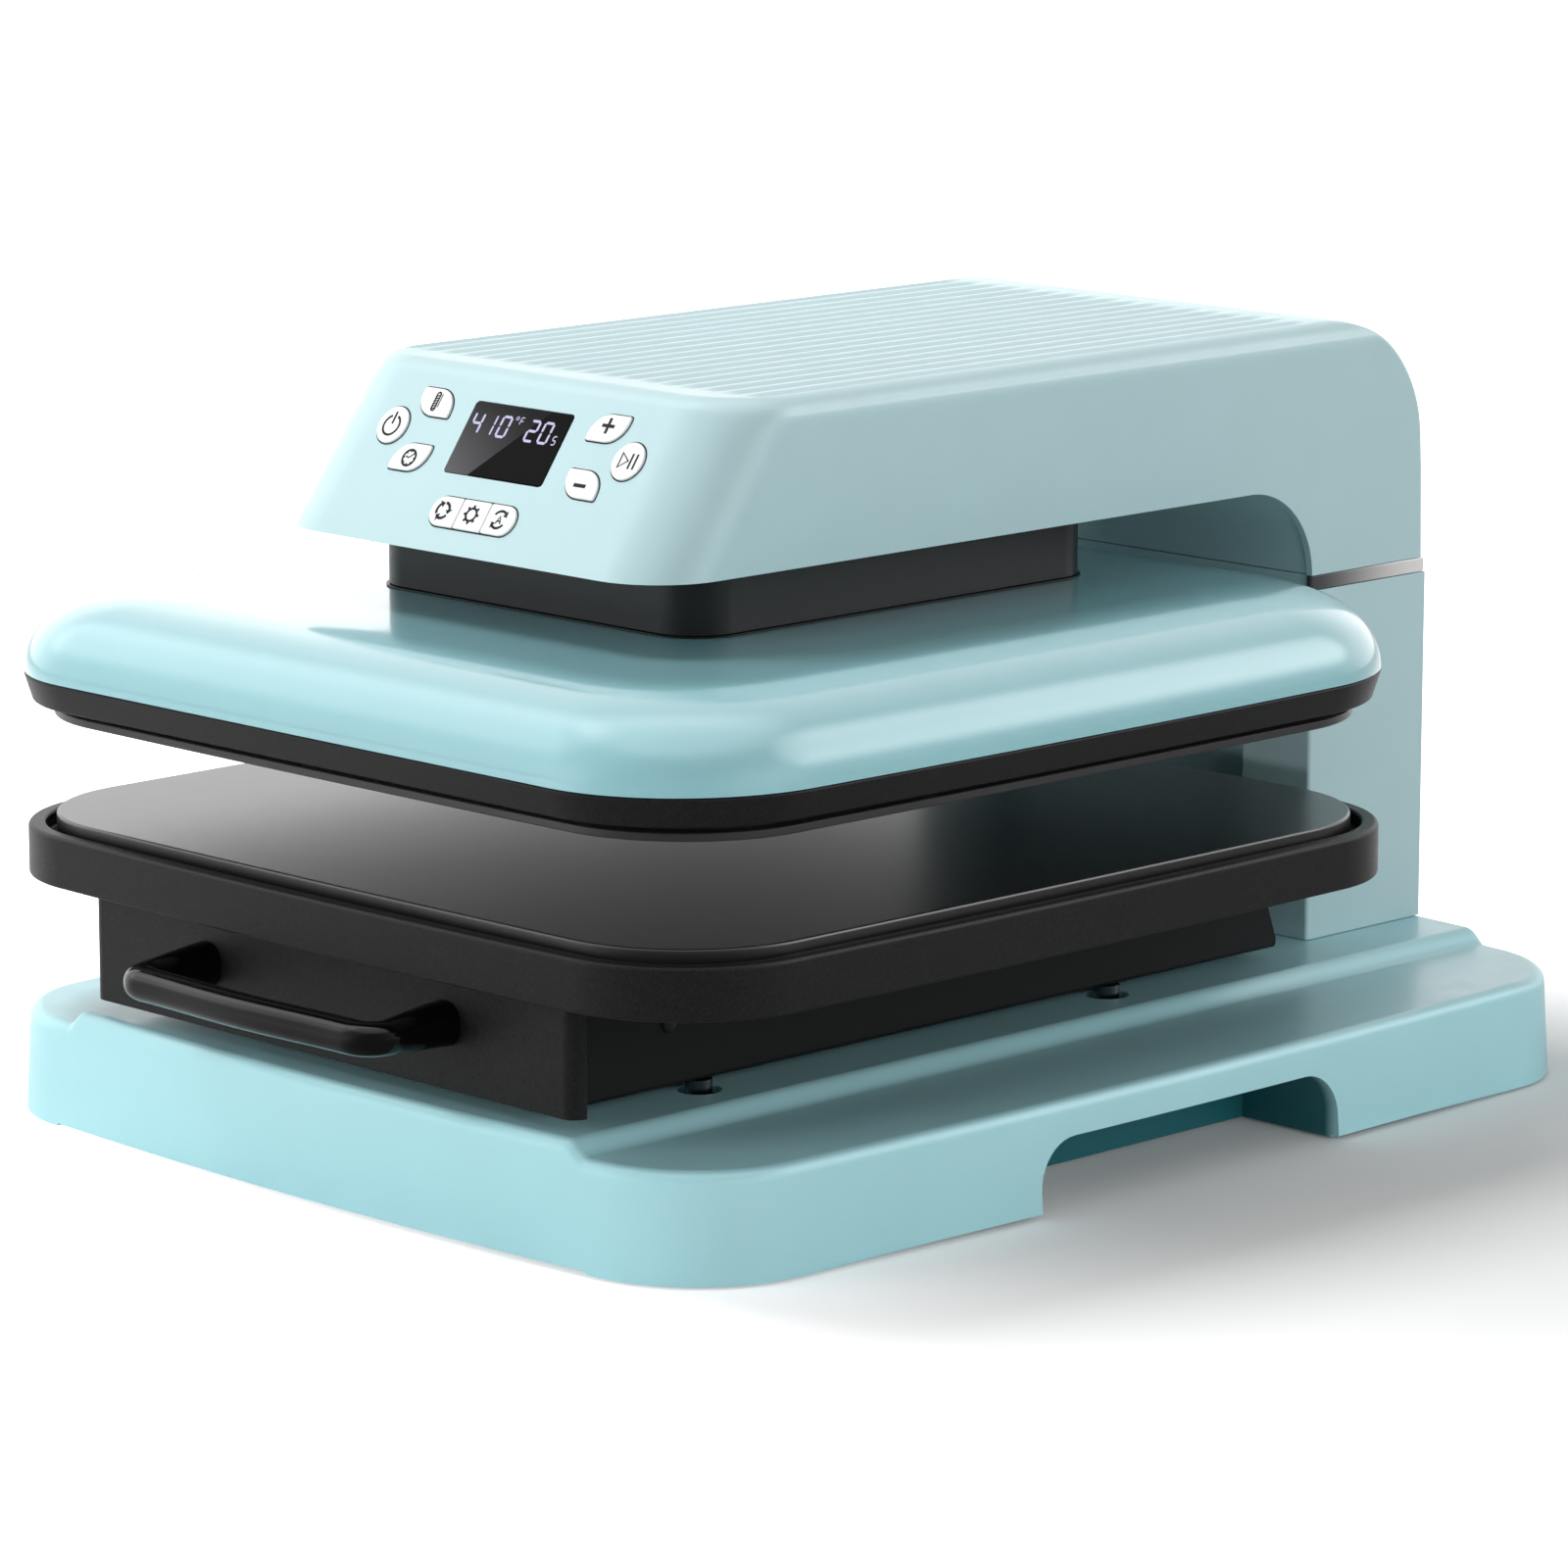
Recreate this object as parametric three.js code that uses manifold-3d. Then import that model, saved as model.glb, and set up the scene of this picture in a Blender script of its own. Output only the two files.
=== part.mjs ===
// Benchtop automatic heat press. A motor in the head drives the upper platen straight down onto a
// lower bed, whose tray pulls out towards the user like a drawer.
// Millimetres. +Z is up, +X is to the right, and the front with the handle faces -Y.
// Heights are measured from the table. Front and back places are measured from the middle of the base.
import * as THREE from "three";
import { mergeVertices } from "three/addons/utils/BufferGeometryUtils.js";
import Module from "manifold-3d";

const wasm = await Module();
wasm.setup();

// Clearances shared by all pieces
const seatGap = 0.3;
const runningGap = 0.4;
const overrun = 6;

// Base shell: bowed sides, raised centre plateau, lower side shoulders, a hand pocket in each side
const baseHalfWidth = 207.5;
const baseHalfDepth = 253.4;
const baseSideBow = 8.1;
const baseFrontBow = 11.2;
const baseCornerReach = 54;
const baseDraft = 2;
const baseWall = 3;
const rimHeight = 2;
const cornerLip = 1;
const lipInnerX = 148;
const lipInnerY = 192;
const shoulderHeight = 41.4;
const shoulderEdge = 4.5;
const plateauHeight = 47.2;
const plateauEdge = 5;
const plateauFootHalfWidth = 142.5;
const plateauSlopeWidth = 6;
const pocketInnerX = 157;
const pocketFront = -77;
const pocketBack = 85;
const pocketTop = 28;
const pocketCorner = 18;
const baseBossRadius = 6;
const baseBossPlaceShares = [[0.5, -0.85], [0.6, 0.45], [0.6, 0.88]];

// Bottom cover, feet and steel base frame
const coverFloor = 3;
const coverThickness = 2.2;
const footRadius = 11;
const footPlaceShares = [0.76, 0.8];
const baseFrameThickness = 3;
const baseFrameSideMargin = 59.5;
const baseFrameFrontMargin = 27.4;
const baseFrameBackMargin = 13.4;

// Bed posts in their clearance holes, with springs and guide tubes below the plateau
const postSideMargin = 27.1;
const postFrontY = -162;
const postBackY = 53;
const postRadius = 5;
const postHoleRadius = 8.3;
const postCollarRadius = 11;
const postCollarHeight = 2.9;
const postTailHeight = 13;
const guideTubeRadius = 8.3;
const guideTubeTop = 24;
const springInnerRadius = 8.8;
const springWire = 1.7;

// Bed channels and tie plate
const bedFloor = 52;
const channelPostOverhang = 5.6;
const channelWall = 2.6;
const channelFlange = 14;
const channelFront = -232.5;
const channelBack = 143.7;
const channelBackSlant = 14;
const channelTrayGap = 1;
const tiePlateFrontSetback = 40;
const tiePlateBackSetback = 24;

// Drawer: front, handle, runners, tray and pad
const drawerFrontY = -240;
const drawerHalfWidth = 134;
const drawerFrontDepth = 6.5;
const drawerFrontCorner = 6;
const drawerSheet = 2.6;
const runnerSheet = 2.6;
const runnerWallGap = 1.6;
const runnerTopFlange = 20;
const runnerBack = 128;
const handlePostX = 66.3;
const handlePostZ = 76.4;
const handleBarZ = 75.2;
const handleReach = 34.8;
const handleBow = 2;
const handleCorner = 9;
const handleHalfDepth = 7.4;
const handleHalfHeight = 6.2;
const handleFootRadius = 8.4;
const traySideMargin = 8.8;
const trayEndMargin = 9.3;
const traySideBow = 3.8;
const trayFrontBow = 4.7;
const trayCornerReach = 56.6;
const trayFloor = 94.2;
const trayTop = 113.9;
const trayEdge = 2;
const trayRim = 6.6;
const trayBed = 107.5;
const trayUndercut = 8;
const trayRibHalfWidth = 16;
const traySkirt = 14;
const padHalfWidth = 190.5;
const padFront = -242.2;
const padBack = 143.6;
const padSideBow = 1.2;
const padFrontBow = 2.2;
const padCornerReach = 56.5;
const padTop = 117.8;
const padEdge = 1.2;

// Upper platen: heat plate, rim, insulation and domed cover
const heatPlateBottom = 155.7;
const heatPlateLip = 3.2;
const heatPlateTop = 166;
const heatPlateStep = 6.5;
const platenSideMargin = 10.8;
const platenEndMargin = 10.4;
const platenSideBow = 4.2;
const platenFrontBow = 0.1;
const platenCornerReach = 65.6;
const platenRimBottom = 162.2;
const platenRimTop = 173;
const platenRimTaper = 2.8;
const platenDomeReach = 31;
const platenDomeHeight = 29.3;
const platenCrownReach = 60;
const platenCrownHeight = 1.5;
const platenCoverWall = 3;
const insulationTop = 188;
const insulationInset = 8;

// Neck: an outer skirt fixed in the head and an inner skirt that rides on the platen
const neckHalfWidth = 89.5;
const neckFront = -139;
const neckBack = 74;
const neckCorner = 19;
const neckWall = 2.4;
const neckCoverGap = 0.8;
const neckFlange = 5;
const neckFlangeHeight = 2;
const neckTopRise = 7.6;
const innerNeckWall = 2;
const innerNeckTopRise = 1;

// Press yoke with legs, lead nut, lead screw, guide rods
const screwY = -32.5;
const screwRadius = 7;
const screwBottom = 193;
const screwHeadRise = 3;
const yokePlateDrop = 19.3;
const yokePlateThickness = 6;
const yokeLegHalf = 5;
const yokeLegX = 72;
const yokeLegFrontY = -122;
const yokeLegBackY = 57;
const nutRadius = 13;
const nutHeight = 13;
const rodX = 50;
const rodRadius = 6;
const rodBottom = 196;
const bearingRadius = 17;
const bearingHeight = 10;

// Motor and gears on the head frame
const gearModule = 2;
const pinionTeeth = 12;
const screwGearTeeth = 54;
const gearWidth = 8;
const gearLift = 2;
const toothRise = 1.5;
const toothFall = 2;
const toothRootShare = 0.5;
const toothTipShare = 0.24;
const motorRadius = 23;
const motorHeight = 38;
const motorHoleGap = 4;
const pinionShaftRadius = 3;

// Steel frames of the column and head
const columnFrameHalfWidth = 88;
const columnFrameFront = 197;
const columnFrameBack = 232;
const columnFrameSheet = 3;
const headFrameDrop = 29.2;
const headFrameThickness = 4;
const headFrameFront = -118;
const headFrameBack = 220;
const headFrameFlangeHeight = 10;
const frameOpeningGap = 2;

// Column shell, rear cover, trim strip
const columnFront = 177.3;
const columnBack = 245.3;
const columnWall = 3;
const columnRecessHalfWidth = 72;
const columnRecessDepth = 12.7;
const columnTop = 187.4;
const columnEdge = 1.5;
const stripHeight = 5.5;
const stripInset = 9;
const ventCount = 6;
const ventPitch = 10;
const ventSlot = 4;
const ventHalfWidth = 45;
const ventBottom = 115;

// Head casing: slanted front panel, ribbed top, large rear curve, arch over the platen
const headHalfWidth = 107.6;
const headFront = -174.6;
const headBottom = 229.4;
const headHeight = 62.1;
const headLeanDegrees = 35.2;
const headSideDraft = 1.6;
const headWall = 3;
const headFrontCorner = 29.5;
const headFrontCornerTop = 31;
const headRearCorner = 4;
const headSideEdge = 10;
const headFrontEdge = 5;
const headRearRadius = 50;
const headRearLean = 1.2;
const archRadius = 36;
const undersideRecess = 1;
const undersideThickness = 2.5;
const ribPitch = 11;
const ribGrooveCount = 18;
const ribGrooveWidth = 7.5;
const ribGrooveDepth = 0.9;
const ribFrontMargin = 11;
const ribBackMargin = 4;
const headBossRadius = 5;
const headBossX = 76;
const headBossFrontY = -106;
const headBossBackY = 205;

// Control panel. Its heights are shares of the slanted face, measured from the head's lower front edge
const displayHalfWidth = 26.6;
const displayHalfHeight = 15;
const displayRiseShare = 0.621;
const displayCorner = 1.6;
const displayDepth = 4.6;
const displayProud = 0.2;
const roundKeyRadius = 7.7;
const roundKeyX = 64.3;
const roundKeyRiseShare = 0.6222;
const leafKeyHalfWidth = 9.3;
const leafKeyHalfHeight = 5.7;
const leafKeySharp = 0.9;
const leafKeyRound = 9;
const leafKeyX = 47;
const leafKeyHighShare = 0.775;
const leafKeyLowShare = 0.468;
const pillHalfLength = 22.8;
const pillHalfHeight = 6.1;
const pillRiseShare = 0.2161;
const pillSplit = 7.55;
const keyProud = 0.9;
const keyTravel = 0.8;
const keyDepth = 6;
const keyFlange = 1.2;
const keyFlangeThickness = 1.2;
const boardThickness = 1.6;
const boardHalfWidth = 76;
const boardLowShare = 0.14856;
const boardHighShare = 0.89134;
const boardBossRadius = 3;
const boardBossX = 68;
const boardBossShare = 0.2701;

// Power board, mains inlet and rocker switch
const powerBoardHalfWidth = 55;
const powerBoardBottom = 112;
const powerBoardTop = 178;
const partHalfWidth = 12;
const partHeight = 22;
const partDepth = 16;
const inletX = -55;
const inletZ = 84;
const inletHalfWidth = 27;
const inletHalfHeight = 15;
const inletDepth = 29;
const inletFlange = 3;
const inletFlangeThickness = 1.6;
const socketHalfWidth = 12;
const socketHalfHeight = 8;
const socketDepth = 17;
const socketOffset = -11;
const bladeWidth = 4;
const bladeThickness = 2;
const bladePitch = 7;
const bladeDrop = 4;
const bladeRecess = 6;
const rockerOffset = 16;
const rockerHalfWidth = 6;
const rockerHalfHeight = 9.4;
const rockerPivotDepth = 4.5;
const rockerBack = 5.5;
const rockerFace = 5;
const rockerWaist = 3.6;
const rockerTiltDegrees = 8;
const rockerWellGap = 1.4;

// Counts of steps on curves
const sideSteps = 3;
const cornerSteps = 6;
const edgeSteps = 3;
const domeSteps = 6;
const roundSteps = 24;
const arcSteps = 6;
const smallArcSteps = 2;
const smallArcRadius = 4;
const rearArcSteps = 8;
const handleSteps = 30;
const handleSectionSteps = 14;

// Places worked out from the sizes above
const mirrorSides = [-1, 1];
const headLean = THREE.MathUtils.degToRad(headLeanDegrees);
const baseFrameBottom = coverFloor + coverThickness + seatGap;
const baseFrameTop = baseFrameBottom + baseFrameThickness;
const plateauUnderside = plateauHeight - baseWall;
const plateauTopHalfWidth = plateauFootHalfWidth - plateauSlopeWidth;
const columnHalfWidth = headHalfWidth;
const baseFrameHalfWidth = baseHalfWidth - baseFrameSideMargin;
const baseFrameFront = baseFrameFrontMargin - baseHalfDepth;
const baseFrameBack = baseHalfDepth - baseFrameBackMargin;
const postX = plateauFootHalfWidth - postSideMargin;
const channelOuterX = postX + channelPostOverhang;
const trayHalfWidth = padHalfWidth + traySideMargin;
const trayFront = padFront - trayEndMargin;
const trayBack = padBack + trayEndMargin;
const platenHalfWidth = padHalfWidth + platenSideMargin;
const platenFront = padFront - platenEndMargin;
const platenBack = padBack + platenEndMargin;
const trayUnderGap = trayFloor - seatGap;
const channelTop = trayFloor - channelTrayGap;
const runnerFloor = bedFloor + channelWall + seatGap;
const domeBase = platenRimTop + seatGap;
const crownTop = domeBase + platenDomeHeight + platenCrownHeight;
const headTop = headBottom + headHeight;
const headFrameBottom = headTop - headFrameDrop;
const yokePlateBottom = headFrameBottom - yokePlateDrop;
const neckTop = headBottom + neckTopRise;
const innerNeckTop = yokePlateBottom + yokePlateThickness + innerNeckTopRise;
const panelLength = headHeight / Math.cos(headLean);
const displayRise = displayRiseShare * panelLength;
const roundKeyRise = roundKeyRiseShare * panelLength;
const leafKeyHighRise = leafKeyHighShare * panelLength;
const leafKeyLowRise = leafKeyLowShare * panelLength;
const pillRise = pillRiseShare * panelLength;
const boardBossRise = boardBossShare * panelLength;
const innerNeckHalfWidth = neckHalfWidth - neckWall - runningGap;
const innerNeckFront = neckFront + neckWall + runningGap;
const innerNeckBack = neckBack - neckWall - runningGap;
const innerNeckCorner = neckCorner - neckWall;
const yokeHalfWidth = innerNeckHalfWidth - innerNeckWall - seatGap;
const yokeFront = innerNeckFront + innerNeckWall + seatGap;
const yokeBack = innerNeckBack - innerNeckWall - seatGap;
const pinionRadius = gearModule * pinionTeeth / 2;
const screwGearRadius = gearModule * screwGearTeeth / 2;
const motorY = screwY + pinionRadius + screwGearRadius;
const headFrameTop = headFrameBottom + headFrameThickness;
const gearBottom = headFrameTop + gearLift;
const gearTop = gearBottom + gearWidth;
const stripBottom = columnTop + seatGap;
const stripTop = stripBottom + stripHeight;
const legBottom = stripTop + seatGap;
const archCentreY = columnFront - archRadius;
const archCentreZ = headBottom - archRadius;
const rearArcHeight = headTop - headRearRadius;
const rearArcCentreY = columnBack - headRearLean - headRearRadius;
const headTopFront = headFront + (headTop - headBottom) * Math.tan(headLean);
const frameShiftY = (handleReach + handleHalfDepth + handleBow - drawerFrontY - baseHalfDepth) / 2;

// Materials
const teal = new THREE.MeshStandardMaterial({ color: 0xa9d6da, roughness: 0.5, metalness: 0 });
const glossTeal = new THREE.MeshStandardMaterial({ color: 0xa4d8dd, roughness: 0.12, metalness: 0 });
const blackMetal = new THREE.MeshStandardMaterial({ color: 0x262627, roughness: 0.55, metalness: 0.3 });
const blackGloss = new THREE.MeshStandardMaterial({ color: 0x0d0d0e, roughness: 0.15, metalness: 0 });
const blackMatte = new THREE.MeshStandardMaterial({ color: 0x1d1e1f, roughness: 0.6, metalness: 0 });
const padGrey = new THREE.MeshStandardMaterial({ color: 0x3a3a3b, roughness: 0.5, metalness: 0 });
const silver = new THREE.MeshStandardMaterial({ color: 0xc9c6c4, roughness: 0.3, metalness: 0.9 });
const steel = new THREE.MeshStandardMaterial({ color: 0x9a9b9d, roughness: 0.4, metalness: 0.9 });
const brass = new THREE.MeshStandardMaterial({ color: 0xb8964a, roughness: 0.35, metalness: 0.9 });
const rubber = new THREE.MeshStandardMaterial({ color: 0x1a1a1a, roughness: 0.9, metalness: 0 });
const whiteKey = new THREE.MeshStandardMaterial({ color: 0xe9eaeb, roughness: 0.45, metalness: 0 });
const boardGreen = new THREE.MeshStandardMaterial({ color: 0x1e5b3a, roughness: 0.6, metalness: 0 });
const gearWhite = new THREE.MeshStandardMaterial({ color: 0xd8d6cc, roughness: 0.5, metalness: 0 });
const wool = new THREE.MeshStandardMaterial({ color: 0xd9d2bd, roughness: 0.95, metalness: 0 });

// A closed triangle mesh made into a solid that can be joined and cut
function solidOf(geometry) {
  const bare = geometry.clone();
  bare.deleteAttribute("normal");
  bare.deleteAttribute("uv");
  const merged = mergeVertices(bare);
  return new wasm.Manifold(new wasm.Mesh({
    numProp: 3,
    vertProperties: new Float32Array(merged.attributes.position.array),
    triVerts: new Uint32Array(merged.index.array),
  }));
}

function geometryOf(solid) {
  const mesh = solid.getMesh();
  const geometry = new THREE.BufferGeometry();
  geometry.setAttribute("position", new THREE.BufferAttribute(new Float32Array(mesh.vertProperties), 3));
  geometry.setIndex(new THREE.BufferAttribute(new Uint32Array(mesh.triVerts), 1));
  geometry.computeVertexNormals();
  return geometry;
}

// Skin over a stack of rings with the same number of points, closed by a fan at each end
function loft(rings) {
  const count = rings[0].length;
  const positions = rings.flat().flatMap((point) => point.toArray());
  const faces = [];
  for (let level = 0; level + 1 < rings.length; level += 1) {
    for (let i = 0; i < count; i += 1) {
      const a = level * count + i;
      const b = level * count + (i + 1) % count;
      faces.push(a, b, b + count, a, b + count, a + count);
    }
  }
  const ends = [[rings[0], 0, true], [rings.at(-1), (rings.length - 1) * count, false]];
  for (const [ring, start, facesDown] of ends) {
    const middle = ring.reduce((sum, point) => sum.add(point), new THREE.Vector3()).divideScalar(count);
    const hub = positions.length / 3;
    positions.push(...middle.toArray());
    for (let i = 0; i < count; i += 1) {
      const a = start + i;
      const b = start + (i + 1) % count;
      faces.push(...(facesDown ? [hub, b, a] : [hub, a, b]));
    }
  }
  const geometry = new THREE.BufferGeometry();
  geometry.setAttribute("position", new THREE.Float32BufferAttribute(positions, 3));
  geometry.setIndex(faces);
  return solidOf(geometry);
}

function extrude(shape, depth, basis, start) {
  const geometry = new THREE.ExtrudeGeometry(shape, { depth, bevelEnabled: false });
  geometry.applyMatrix4(basis);
  geometry.translate(start.x, start.y, start.z);
  return solidOf(geometry);
}

const alongZ = new THREE.Matrix4();
const alongX = new THREE.Matrix4().makeBasis(
  new THREE.Vector3(0, 1, 0), new THREE.Vector3(0, 0, 1), new THREE.Vector3(1, 0, 0));
const alongMinusY = new THREE.Matrix4().makeBasis(
  new THREE.Vector3(1, 0, 0), new THREE.Vector3(0, 0, 1), new THREE.Vector3(0, -1, 0));

// Prisms: a plan outline (x, y), a side outline (y, z) and a front outline (x, z)
const planPrism = (shape, low, high) => extrude(shape, high - low, alongZ, new THREE.Vector3(0, 0, low));
const sidePrism = (shape, low, high) => extrude(shape, high - low, alongX, new THREE.Vector3(low, 0, 0));
const frontPrism = (shape, front, back) =>
  extrude(shape, back - front, alongMinusY, new THREE.Vector3(0, back, 0));

function box(x, y, z) {
  const geometry = new THREE.BoxGeometry(x[1] - x[0], y[1] - y[0], z[1] - z[0]);
  geometry.translate((x[0] + x[1]) / 2, (y[0] + y[1]) / 2, (z[0] + z[1]) / 2);
  return solidOf(geometry);
}

function post(radius, x, y, low, high, steps = roundSteps) {
  const geometry = new THREE.CylinderGeometry(radius, radius, high - low, steps);
  geometry.rotateX(Math.PI / 2);
  geometry.translate(x, y, (low + high) / 2);
  return solidOf(geometry);
}

const tube = (outer, inner, x, y, low, high) =>
  post(outer, x, y, low, high).subtract(post(inner, x, y, low - overrun, high + overrun));

function polygon(points) {
  return new THREE.Shape(points.map(([x, y]) => new THREE.Vector2(x, y)));
}

function arcPoints(x, y, radius, start, turn, steps) {
  return Array.from({ length: steps + 1 }, (unused, i) => {
    const angle = start + turn * i / steps;
    return [x + radius * Math.cos(angle), y + radius * Math.sin(angle)];
  });
}

const discShape = (x, y, radius) =>
  polygon(arcPoints(x, y, radius, 0, 2 * Math.PI, roundSteps).slice(0, -1));

// A rectangle whose corners have their own radii, in the order: low left, low right, high right, high left
function roundedShape(left, right, low, high, radii) {
  const [a, b, c, d] = radii;
  const corners = [
    [left + a, low + a, a, Math.PI],
    [right - b, low + b, b, 3 * Math.PI / 2],
    [right - c, high - c, c, 0],
    [left + d, high - d, d, Math.PI / 2],
  ];
  return polygon(corners.flatMap(([x, y, radius, start]) =>
    arcPoints(x, y, radius, start, Math.PI / 2, radius < smallArcRadius ? smallArcSteps : arcSteps)));
}

const squareShape = (left, right, low, high) =>
  polygon([[left, low], [right, low], [right, high], [left, high]]);

// Ring of a bowed outline: the sides are parabolas and each corner is a smooth conic between them
function bowedRing(outline, inset, z) {
  const halfX = outline.halfWidth - inset;
  const halfY = (outline.back - outline.front) / 2 - inset;
  const middleY = (outline.back + outline.front) / 2;
  const reach = Math.max(outline.corner - inset, seatGap);
  const side = (t) => new THREE.Vector2(halfX - outline.sideBow * t * t, t * halfY);
  const end = (t) => new THREE.Vector2(t * halfX, halfY - outline.frontBow * t * t);
  const sideEnd = 1 - reach / halfY;
  const endStart = 1 - reach / halfX;
  const from = side(sideEnd);
  const to = end(endStart);
  const slopeFrom = new THREE.Vector2(-2 * outline.sideBow * sideEnd, halfY).normalize();
  const slopeTo = new THREE.Vector2(halfX, -2 * outline.frontBow * endStart).normalize();
  const gap = to.clone().sub(from);
  const along = gap.cross(slopeTo) / slopeFrom.cross(slopeTo);
  const pull = from.clone().addScaledVector(slopeFrom, along);
  const weight = Math.SQRT1_2;
  const quarter = [];
  for (let i = 0; i < sideSteps; i += 1) quarter.push(side(sideEnd * i / sideSteps));
  for (let i = 0; i <= cornerSteps; i += 1) {
    const t = i / cornerSteps;
    const shares = [(1 - t) * (1 - t), 2 * weight * t * (1 - t), t * t];
    const sum = shares[0] + shares[1] + shares[2];
    quarter.push(new THREE.Vector2()
      .addScaledVector(from, shares[0] / sum)
      .addScaledVector(pull, shares[1] / sum)
      .addScaledVector(to, shares[2] / sum));
  }
  for (let i = sideSteps - 1; i >= 0; i -= 1) quarter.push(end(endStart * i / sideSteps));
  const left = quarter.slice(0, -1).reverse().map((p) => new THREE.Vector2(-p.x, p.y));
  const upper = [...quarter, ...left];
  const lower = upper.slice(1, -1).reverse().map((p) => new THREE.Vector2(p.x, -p.y));
  return [...upper, ...lower].map((p) => new THREE.Vector3(p.x, p.y + middleY, z));
}

// Levels of a quarter-round edge that ends at the given top
function edgeLevels(outline, inset, radius, top, steps = edgeSteps) {
  const rings = [];
  for (let i = 0; i <= steps; i += 1) {
    const angle = Math.PI / 2 * i / steps;
    const shift = inset + radius * (1 - Math.cos(angle));
    rings.push(bowedRing(outline, shift, top - radius + radius * Math.sin(angle)));
  }
  return rings;
}

const slab = (outline, inset, low, high) =>
  loft([bowedRing(outline, inset, low), bowedRing(outline, inset, high)]);

const baseOutline = {
  halfWidth: baseHalfWidth, front: -baseHalfDepth, back: baseHalfDepth,
  sideBow: baseSideBow, frontBow: baseFrontBow, corner: baseCornerReach,
};
const trayOutline = {
  halfWidth: trayHalfWidth, front: trayFront, back: trayBack,
  sideBow: traySideBow, frontBow: trayFrontBow, corner: trayCornerReach,
};
const padOutline = {
  halfWidth: padHalfWidth, front: padFront, back: padBack,
  sideBow: padSideBow, frontBow: padFrontBow, corner: padCornerReach,
};
const platenOutline = {
  halfWidth: platenHalfWidth, front: platenFront, back: platenBack,
  sideBow: platenSideBow, frontBow: platenFrontBow, corner: platenCornerReach,
};

const group = new THREE.Group();
group.position.y = frameShiftY;

function place(name, solid, material, matrix = new THREE.Matrix4()) {
  const mesh = new THREE.Mesh(geometryOf(solid).applyMatrix4(matrix), material);
  mesh.name = name;
  group.add(mesh);
}

// Base shell
function plateauProfile(inset) {
  const foot = plateauFootHalfWidth - inset;
  const top = plateauTopHalfWidth - inset;
  return polygon([
    [-foot, 0], [foot, 0], [foot, shoulderHeight - inset], [top, plateauHeight - inset],
    [-top, plateauHeight - inset], [-foot, shoulderHeight - inset],
  ]);
}

function baseBody(inset, low) {
  const shoulder = loft([
    bowedRing(baseOutline, inset, low),
    ...edgeLevels(baseOutline, baseDraft + inset, shoulderEdge, shoulderHeight - inset),
  ]);
  const crown = loft([
    bowedRing(baseOutline, inset, low),
    ...edgeLevels(baseOutline, baseDraft + inset, plateauEdge, plateauHeight - inset),
  ]);
  const ridge = frontPrism(plateauProfile(inset), -baseHalfDepth, baseHalfDepth);
  return shoulder.add(crown.intersect(ridge));
}

function pocketShape(grow) {
  const radius = pocketCorner + grow;
  return roundedShape(
    pocketFront - grow, pocketBack + grow, -overrun, pocketTop + grow, [seatGap, seatGap, radius, radius]);
}

function sideSpan(side, near, far) {
  return side < 0 ? [-far, -near] : [near, far];
}

function buildBaseShell() {
  const outer = baseBody(0, rimHeight);
  let shell = outer.subtract(baseBody(baseWall, -overrun));
  const lipRing = slab(baseOutline, 0, rimHeight - cornerLip, rimHeight + cornerLip)
    .subtract(slab(baseOutline, baseWall, -overrun, rimHeight + overrun));
  const far = baseHalfDepth + overrun;
  for (const sideX of mirrorSides) {
    for (const sideY of mirrorSides) {
      const corner = box(
        sideSpan(sideX, lipInnerX, far), sideSpan(sideY, lipInnerY, far), [0, plateauHeight]);
      shell = shell.add(lipRing.intersect(corner));
    }
    const wallSpan = sideSpan(sideX, pocketInnerX - baseWall, baseHalfWidth);
    shell = shell.add(sidePrism(pocketShape(baseWall), ...wallSpan).intersect(outer));
  }
  for (const [shareX, shareY] of baseBossPlaceShares) {
    for (const side of mirrorSides) {
      shell = shell.add(post(baseBossRadius, side * shareX * baseHalfWidth, shareY * baseHalfDepth,
        baseFrameTop + seatGap, plateauHeight - baseWall / 2, arcSteps));
    }
  }
  for (const side of mirrorSides) {
    const span = sideSpan(side, pocketInnerX, baseHalfWidth + overrun);
    shell = shell.subtract(sidePrism(pocketShape(0), ...span));
    for (const y of [postFrontY, postBackY]) {
      shell = shell.subtract(
        post(postHoleRadius, side * postX, y, plateauUnderside - overrun, plateauHeight + overrun));
    }
  }
  const frameHalf = columnFrameHalfWidth + frameOpeningGap;
  return shell.subtract(box(
    [-frameHalf, frameHalf],
    [columnFrameFront - frameOpeningGap, columnFrameBack + frameOpeningGap],
    [plateauUnderside - overrun, plateauHeight + overrun]));
}

function buildBottomCover() {
  const inset = baseWall + baseDraft / 2 + seatGap;
  let cover = slab(baseOutline, inset, coverFloor, coverFloor + coverThickness);
  for (const side of mirrorSides) {
    cover = cover.subtract(box(
      sideSpan(side, pocketInnerX - baseWall - seatGap, baseHalfWidth + overrun),
      [pocketFront - baseWall - seatGap, pocketBack + baseWall + seatGap],
      [0, plateauHeight]));
  }
  return cover;
}

function buildBaseFrame() {
  let frame = box([-baseFrameHalfWidth, baseFrameHalfWidth], [baseFrameFront, baseFrameBack],
    [baseFrameBottom, baseFrameTop]);
  for (const side of mirrorSides) {
    for (const y of [postFrontY, postBackY]) {
      frame = frame.add(tube(guideTubeRadius, postRadius + runningGap, side * postX, y,
        baseFrameTop - baseFrameThickness / 2, guideTubeTop));
    }
  }
  return frame;
}

place("base_shell", buildBaseShell(), teal);
place("bottom_cover", buildBottomCover(), blackMatte);
place("base_frame", buildBaseFrame(), steel);

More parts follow.
